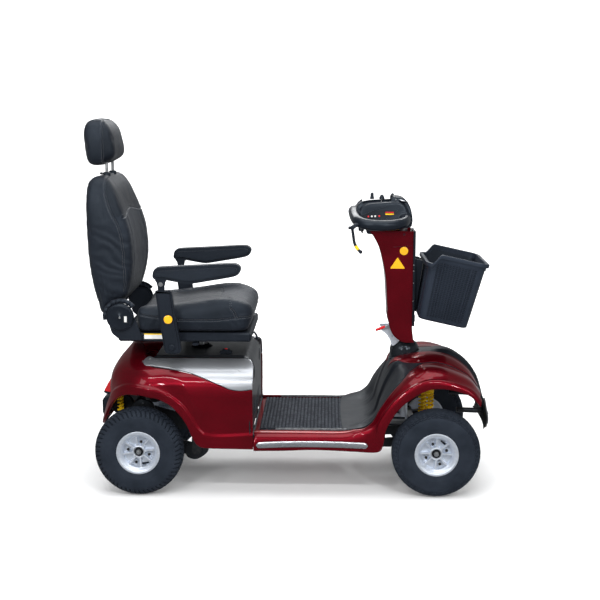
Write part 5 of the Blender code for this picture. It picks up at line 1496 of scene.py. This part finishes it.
for k, (x, y, tall, thick_rod) in enumerate(((0.319, 0.0645, 0.023, 0.0062), (0.357, 0.064, 0.015, 0.0078),
                                             (0.398, 0.06, 0.021, 0.0062))):
    profile = [(0.0, tall), (thick_rod * 0.7, tall), (thick_rod, tall - 0.002), (thick_rod, 0.01),
               (thick_rod * 1.25, 0.008), (thick_rod * 1.35, 0.0), (0.0, 0.0)]
    show("console_socket_%d" % k, lathe(profile, 28, (x, y, 1.078), (0.0, 0.12, 1)), BLACK, "tiller",
         angle=40)
    show("socket_screw_%d" % k, moved(nut(thick_rod * 0.62, 0.003),
                                      Matrix.Translation((x, y + 0.0024, 1.079 + tall))
                                      @ Matrix.Rotation(PI / 2, 4, "X")), STEEL, "tiller", angle=35)

# Clamp and brake lever under the right of the loop
clamp = joined(tube([(0.237, -0.1985, 0.993), (0.256, -0.19, 1.003), (0.276, -0.185, 1.006)], 0.0075, 22,
                    smooth=4), box((0.23, -0.206, 0.9842), (0.246, -0.19, 1.0), 0.003, 3),
               tube([(0.224, -0.198, 0.992), (0.23, -0.198, 0.992)], 0.0058, 20))
show("brake_clamp", clamp, BLACK, "tiller", angle=50)
screw("brake_clamp_screw", (0.2238, -0.198, 0.992), (-1, 0, 0), 0.0036, "tiller")
lever_path = [(0.238, -0.198, 0.986), (0.242, -0.199, 0.96), (0.246, -0.2, 0.936), (0.257, -0.2, 0.915),
              (0.269, -0.2, 0.903)]
show("brake_blade", tube(lever_path, 0.0052, 20, smooth=7), SATIN, "brake", "brake_lever", angle=50)
show("brake_band", tube([(0.2505, -0.2, 0.9262), (0.2555, -0.2, 0.9174), (0.26, -0.2, 0.912)], 0.0061, 22,
                        smooth=4), YELLOW, "brake", angle=50)
ball = [(0.0, 0.007), (0.0035, 0.0061), (0.0061, 0.0035), (0.007, 0.0), (0.0061, -0.0035),
        (0.0035, -0.0061), (0.0, -0.007)]
show("brake_knob", lathe(ball, 24, (0.269, -0.2, 0.903), (0.5, 0, -1)), BLACK, "brake", angle=60)
wing = []
for y in np.linspace(-0.15, 0.15, 61):
    t = abs(y) / 0.15
    size = 1 - 0.45 * t ** 6
    wing.append([(0.276 + 0.0042 * size * math.cos(a), y, 0.9705 + 0.0066 * size * math.sin(a))
                 for a in np.linspace(0, 2 * PI, 16, endpoint=False)])
boss = lathe([(0.0, 0.9602), (0.009, 0.9602), (0.0108, 0.962), (0.011, 0.9772), (0.0, 0.9772)], 36,
             (0.276, 0, 0), UPRIGHT)
show("throttle_wing", joined(outward(sheet(wing, close_v=True)), boss), BLACK, "throttle", "throttle_lever",
     angle=60)
housing = soft_plate([(0.3, 0.955), (0.345, 0.955), (0.352, 0.9665), (0.352, 0.9775), (0.296, 0.9775),
                      (0.296, 0.9665)], -0.064, 0.064, 0.003, 3, 3)
show("throttle_housing", housing, BLACK, "tiller", angle=50)

# Basket ------------------------------------------------------------------------------------------
BASKET_PLACE = Matrix.Translation((0.581, 0.0, 0.6245)) @ Matrix.Rotation(math.radians(12.5), 4, "Y")
DEEP, WIDE, ROUND, TALL = 0.0937, 0.152, 0.026, 0.257    # half depth, half width, corner radius, height
CORNERS = [(1, -1, -90), (1, 1, 0), (-1, 1, 90), (-1, -1, 180)]
FLARE_X, FLARE_Y = 0.155, 0.118    # growth of the outline from the base to the rim


def basket_outline(side_slots, end_slots):
    """Points round the basket's base with the stretches that hold slots marked."""
    spots, kind = [], []
    for k, (sx, sy, start) in enumerate(CORNERS):
        center = np.array((sx * (DEEP - ROUND), sy * (WIDE - ROUND)))
        for a in np.radians(np.linspace(start, start + 90, 9)):
            spots.append(center + ROUND * np.array((math.cos(a), math.sin(a))))
            kind.append(0)
        after = CORNERS[(k + 1) % 4]
        here = spots[-1]
        turn = math.radians(after[2])
        there = np.array((after[0] * (DEEP - ROUND), after[1] * (WIDE - ROUND)))
        there = there + ROUND * np.array((math.cos(turn), math.sin(turn)))
        slots = end_slots if k % 2 == 0 else side_slots
        pitch = 1.0 / slots
        for n in range(slots):
            for share, marked in ((0.12, 1), (0.88, 0)):
                spots.append(here + (there - here) * (n + share) * pitch)
                kind.append(marked)
    return np.array(spots), np.array(kind)


def basket_top(x):
    return 0.257 - 0.039 * step(-x, 0.064, 0.094)


spots, marks = basket_outline(13, 22)
rows = [0.0, 0.012, 0.03, 0.055]
slot_rows = []
for k in range(30):
    slot_rows.append(len(rows))
    rows += [0.075 + 0.027 * k, 0.075 + 0.027 * k + 0.015]
rows += [0.89, 0.925, 0.96, 1.0]
rows = np.array(rows)
grow = rows[:, None] * basket_top(spots[None, :, 0] * 1.155)
inset = 0.0075 * (1 - np.sqrt(np.clip(1 - (1 - np.clip(grow / 0.0075, 0, 1)) ** 2, 0, 1)))
wall = np.zeros((len(rows), len(spots), 3))
size = 1 - inset / 0.12
wall[..., 0] = spots[None, :, 0] * (1 + FLARE_X * grow / TALL) * size
wall[..., 1] = spots[None, :, 1] * (1 + FLARE_Y * grow / TALL) * size
wall[..., 2] = grow
bm = bmesh.new()
verts = [[bm.verts.new(p) for p in line] for line in wall]
count = len(spots)
for i in range(len(rows) - 1):
    for j in range(count):
        after = (j + 1) % count
        if i not in slot_rows or marks[j] == 0:
            bm.faces.new((verts[i][j], verts[i][after], verts[i + 1][after], verts[i + 1][j]))
bm.faces.new([verts[0][j] for j in range(count)][::-1])
mesh = thick(moved(done(bm, recalc=False), BASKET_PLACE), 0.0016, offset=-1.0)
show("basket_tub", mesh, BASKET, "basket", "basket", angle=40)
# A black sheet just inside the wall paints the shade seen through the slots.
slot_shade = wall[1:-2, ::2] * np.array((0.976, 0.984, 1.0)) + np.array((0, 0, 0.001))
mesh = thick(moved(outward(sheet(slot_shade, close_v=True), (0, 0, 0.12)), BASKET_PLACE), 0.001)
show("basket_slot_shade", mesh, BLACK, "basket", angle=40)

LIP = [(-0.003, -0.026), (0.0014, -0.0262), (0.0018, -0.024), (0.0018, -0.006), (0.004, -0.0042),
       (0.0072, -0.005), (0.008, -0.013), (0.01, -0.0135), (0.0108, -0.004), (0.01, -0.0006),
       (0.008, 0.0006), (0.0, 0.0006), (-0.003, -0.001)]
fine = []
for k, (sx, sy, start) in enumerate(CORNERS):
    for a in np.radians(np.linspace(start, start + 90, 13)):
        fine.append((sx * (DEEP - ROUND) + ROUND * math.cos(a), sy * (WIDE - ROUND) + ROUND * math.sin(a),
                     a))
    after = (CORNERS[1:] + [(1, -1, 270)])[k]
    turn = math.radians(after[2])
    there = (after[0] * (DEEP - ROUND) + ROUND * math.cos(turn),
             after[1] * (WIDE - ROUND) + ROUND * math.sin(turn))
    begin = fine[-1]
    for t in np.linspace(0, 1, 24)[1:-1]:
        fine.append((begin[0] + (there[0] - begin[0]) * t, begin[1] + (there[1] - begin[1]) * t, turn))
lip = []
for x, y, a in fine:
    top = float(basket_top(x * 1.155))
    wide_x, wide_y = x * (1 + FLARE_X * top / TALL), y * (1 + FLARE_Y * top / TALL)
    lip.append([(wide_x + o * math.cos(a), wide_y + o * math.sin(a), top + h) for o, h in LIP])
mesh = moved(outward(sheet(lip, close_u=True, close_v=True), (0, 0, 0.1)), BASKET_PLACE)
show("basket_rim", mesh, BASKET, "basket", angle=45)
bars = []
for sign in (-1, 1):
    for x in (-0.046, 0.004, 0.05):
        path = [(x * (1 + FLARE_X * t), sign * (WIDE * (1 + FLARE_Y * t) + 0.0004), TALL * t)
                for t in np.linspace(0.05, 0.9, 12)]
        bars.append(tube(path, 0.0022, 10))
for y in (-0.095, 0.0, 0.095):
    for sign in (-1, 1):
        path = [(sign * (DEEP * (1 + FLARE_X * t) + 0.0004), y * (1 + FLARE_Y * t), TALL * t)
                for t in np.linspace(0.05, 0.82, 12)]
        bars.append(tube(path, 0.0022, 10))
for x in np.linspace(-0.062, 0.062, 6):
    bars.append(box((x - 0.002, -0.13, 0.0028), (x + 0.002, 0.13, 0.0052), 0.0008))
show("basket_bars", moved(joined(*bars), BASKET_PLACE), BASKET, "basket", angle=60)

# Springs -----------------------------------------------------------------------------------------
BRASS = metal("brass_plating", (0.62, 0.44, 0.16), 0.32, 1.0, 300.0, 0.06)


def helix(x, y, low, high, radius, turns):
    path = []
    for t in np.linspace(0, 1, int(turns * 24)):
        rise = low + (high - low) * (0.06 * t + 0.94 * step(t, -0.12, 1.12))
        a = t * turns * 2 * PI
        path.append((x + radius * math.cos(a), y + radius * math.sin(a), rise))
    return path


for end, x, gap, low, high, wide, wire, turns, keep in (("rear", -0.638, 0.184, 0.2371, 0.379, 0.01, 0.0035,
                                                         11.0, 0.841),
                                                        ("front", 0.5355, 0.145, 0.1856, 0.384, 0.0143,
                                                         0.0042, 13.0, 0.928)):
    for side, sign in SIDES:
        name = end + "_" + side
        y = sign * gap
        coil = tube(helix(x, y, low + wire + 0.004, high - wire - 0.004, wide, turns), wire, 10)
        coil = show("spring_" + name, coil, YELLOW, "chassis", end + "_shock_" + side, angle=70)
        body = [(0.0, low + 0.0015), (wide + wire, low + 0.0015), (wide + wire, low + 0.004),
                (wide * 0.52, low + 0.006), (wide * 0.52, (low + high) / 2),
                (wide * 0.3, (low + high) / 2 + 0.002), (wide * 0.3, high - 0.006),
                (wide + wire, high - 0.004), (wide + wire, high), (0.0, high)]
        damper = show("damper_" + name, lathe(body, 28, (x, y, 0), UPRIGHT), YELLOW, "chassis", angle=40)
        for piece in (coil, damper):
            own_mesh(piece)

# Running gear details ----------------------------------------------------------------------------
for side, sign in SIDES:
    profile = [(0.0, 0.16), (0.012, 0.16), (0.014, 0.162), (0.04, 0.1615), (0.044, 0.1595), (0.0455, 0.156),
               (0.0455, 0.142), (0.0, 0.142)]
    disc = lathe([(r, sign * y) for r, y in profile], 64, (-0.558, 0, 0.285))
    show("motor_cap_" + side, disc, FRAME, "rear_axle", angle=40)
    nuts = []
    for k in range(5):
        a = 2 * PI * k / 5 + 0.3
        at = Matrix.Translation((-0.558 + 0.03 * math.cos(a), sign * 0.163, 0.285 + 0.03 * math.sin(a)))
        nuts.append(moved(nut(0.004, 0.003), at))
    show("motor_cap_bolts_" + side, joined(*nuts), STEEL, "rear_axle", angle=35)
    outline = [(-0.395, 0.128), (-0.385, 0.108), (-0.364, 0.1), (-0.34, 0.104), (-0.308, 0.13),
               (-0.308, 0.158), (-0.35, 0.17), (-0.39, 0.158)]
    bracket = soft_plate(outline, *span(sign, 0.1772, 0.1812), 0.001, 4, 2)
    show("swing_bracket_" + side, bracket, FRAME, "chassis", angle=50)
    bolt = joined(moved(nut(0.0078, 0.005), Matrix.Translation((-0.35, sign * 0.1842, 0.137))),
                  lathe([(0.0, sign * 0.181), (0.0098, sign * 0.181), (0.01, sign * 0.1824),
                         (0.0, sign * 0.1824)], 32, (-0.35, 0, 0.137)))
    show("swing_bolt_" + side, bolt, BRASS, "chassis", angle=35)
    wedge = [(-0.67, 0.35), (-0.686, 0.354), (-0.7035, 0.36), (-0.703, 0.366), (-0.68, 0.406),
             (-0.666, 0.41)]
    show("tail_lamp_" + side, plate(wedge, *span(sign, 0.1, 0.158), "Y", 0.0022, 3), MARK_RED, "chassis",
         angle=40)
    frame_outline = [(-0.67, 0.344), (-0.69, 0.348), (-0.705, 0.356), (-0.705, 0.36), (-0.67, 0.356)]
    base = plate(frame_outline, *span(sign, 0.096, 0.162), "Y", 0.0012, 2)
    show("tail_lamp_base_" + side, base, SATIN, "chassis", angle=40)
    bumper = [(-0.688, 0.268), (-0.708, 0.271), (-0.711, 0.28), (-0.711, 0.326), (-0.706, 0.334),
              (-0.688, 0.337)]
    block = plate(bumper, *span(sign, 0.09, 0.165), "Y", 0.003, 3)
    show("rear_bumper_" + side, block, BLACK, "chassis", angle=40)
    show("rear_reflector_" + side, lathe([(0.0, 0.0012), (0.01, 0.001), (0.0124, 0.0), (0.0124, -0.001),
                                          (0.0, -0.001)], 40, (-0.7112, sign * 0.1275, 0.303), (-1, 0, 0)),
         MARK_RED, "chassis", angle=50)
backing = box((-0.129, -0.308, 0.186), (-0.1215, 0.308, 0.234), 0.001)
show("body_joint_backing", backing, BLACK, "chassis", angle=40)

# CAD parts that keep their own shape get a finished material -----------------------------------------
KEPT = {FRAME: ("chassis_frame", "transaxle", "rear_swing_arm", "front_axle_beam", "knuckle_left",
                "knuckle_right", "swivel_plate"), STEEL: ("tie_rod", "tiller_post", "seat_post",
                                                          "ignition_key"), CAST: ("steering_column",),
        CHROME: ("headrest_posts",), CASE: ("battery_left", "battery_right"),
        BLACK: ("seat_pan", "console", "speed_dial", "throttle_lever", "swivel_lever", "slide_lever",
                "arm_post_left", "arm_post_right", "tiller_front_cover", "recliner_cover_left",
                "recliner_cover_right"), BASKET: ("basket",),
        LEATHER: ("seat_cushion", "backrest", "headrest", "armrest_left", "armrest_right"),
        RED: ("tiller_cover",), YELLOW: ("rear_shock_left", "rear_shock_right", "front_shock_left",
                                         "front_shock_right", "horn_button"),
        SATIN: ("brake_lever", "tilt_lever"), }
for mat, names in KEPT.items():
    for name in names:
        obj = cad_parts[name]
        obj.data.materials.clear()
        obj.data.materials.append(mat)

# Stage, light and camera -------------------------------------------------------------------------
white = Look("studio_floor", (0.9, 0.9, 0.9), 0.75, 0.0)
white.link(white.ramp(white.noise(0.8, 2.0), (0.2, (0.885, 0.886, 0.888)), (0.8, (0.915, 0.915, 0.915))),
           "Base Color")
white.set("Emission Color", (1.0, 1.0, 1.0, 1.0))
depth = white.node("ShaderNodeSeparateXYZ", {"Vector": white.coord}).outputs["Y"]
white.link(white.map(depth, 0.06, 0.85, 0.6, 3.0), "Emission Strength")
sweep = [(-9.0, 0.0), (5.0, 0.0)]
sweep += [(5.0 + 2.2 * math.sin(a), 2.2 - 2.2 * math.cos(a))
          for a in np.linspace(0.1, PI / 2, 14)] + [(7.2, 9.0)]
points = np.array([[(x, y, z - 0.0004) for y, z in sweep] for x in (-11.0, 11.0)])
backdrop = placed("backdrop", sheet(points))
backdrop.data.materials.append(white.mat)
for face in backdrop.data.polygons:
    face.use_smooth = True
backdrop.visible_glossy = False

world = bpy.data.worlds.new("studio")
bpy.context.scene.world = world
world.use_nodes = True
world.node_tree.nodes["Background"].inputs["Color"].default_value = (0.94, 0.97, 1.0, 1.0)
world.node_tree.nodes["Background"].inputs["Strength"].default_value = 0.3
bpy.context.scene.view_settings.view_transform = "Standard"


def softbox(name, place, target, width, height, power):
    light = bpy.data.lights.new(name, "AREA")
    light.shape = "RECTANGLE"
    light.size = width
    light.size_y = height
    light.energy = power
    obj = placed(name, light)
    obj.location = place
    obj.rotation_euler = (Vector(target) - Vector(place)).to_track_quat("-Z", "Y").to_euler()


softbox("top_box", (0.1, -0.3, 3.6), (0.0, 0.0, 0.4), 3.4, 2.4, 95)
softbox("key_box", (-2.6, -3.2, 2.7), (-0.1, 0.0, 0.5), 0.9, 1.4, 26)
softbox("fill_box", (2.8, -3.0, 2.3), (0.2, 0.0, 0.5), 0.9, 1.4, 20)
softbox("strip_rear", (-1.3, -3.6, 1.9), (-0.3, 0.0, 0.4), 0.14, 0.6, 30)
softbox("strip_front", (1.7, -3.4, 2.1), (0.4, 0.0, 0.4), 0.14, 0.6, 30)
softbox("bar_rear", (-0.9, -2.6, 2.9), (-0.4, 0.0, 0.4), 1.1, 0.1, 22)
softbox("bar_front", (0.9, -2.6, 2.9), (0.5, 0.0, 0.4), 1.1, 0.1, 22)
softbox("back_box", (0.0, 3.4, 3.2), (0.0, 0.0, 0.5), 3.2, 1.2, 90)

data = bpy.data.cameras.new("camera")
data.lens = 68.88
data.sensor_width = 36.0
camera = placed("camera", data)
camera.location = (0.152, -4.409, 1.42)
camera.rotation_euler = (math.radians(90 - 9.405), 0.0, math.radians(1.451))
bpy.context.scene.camera = camera
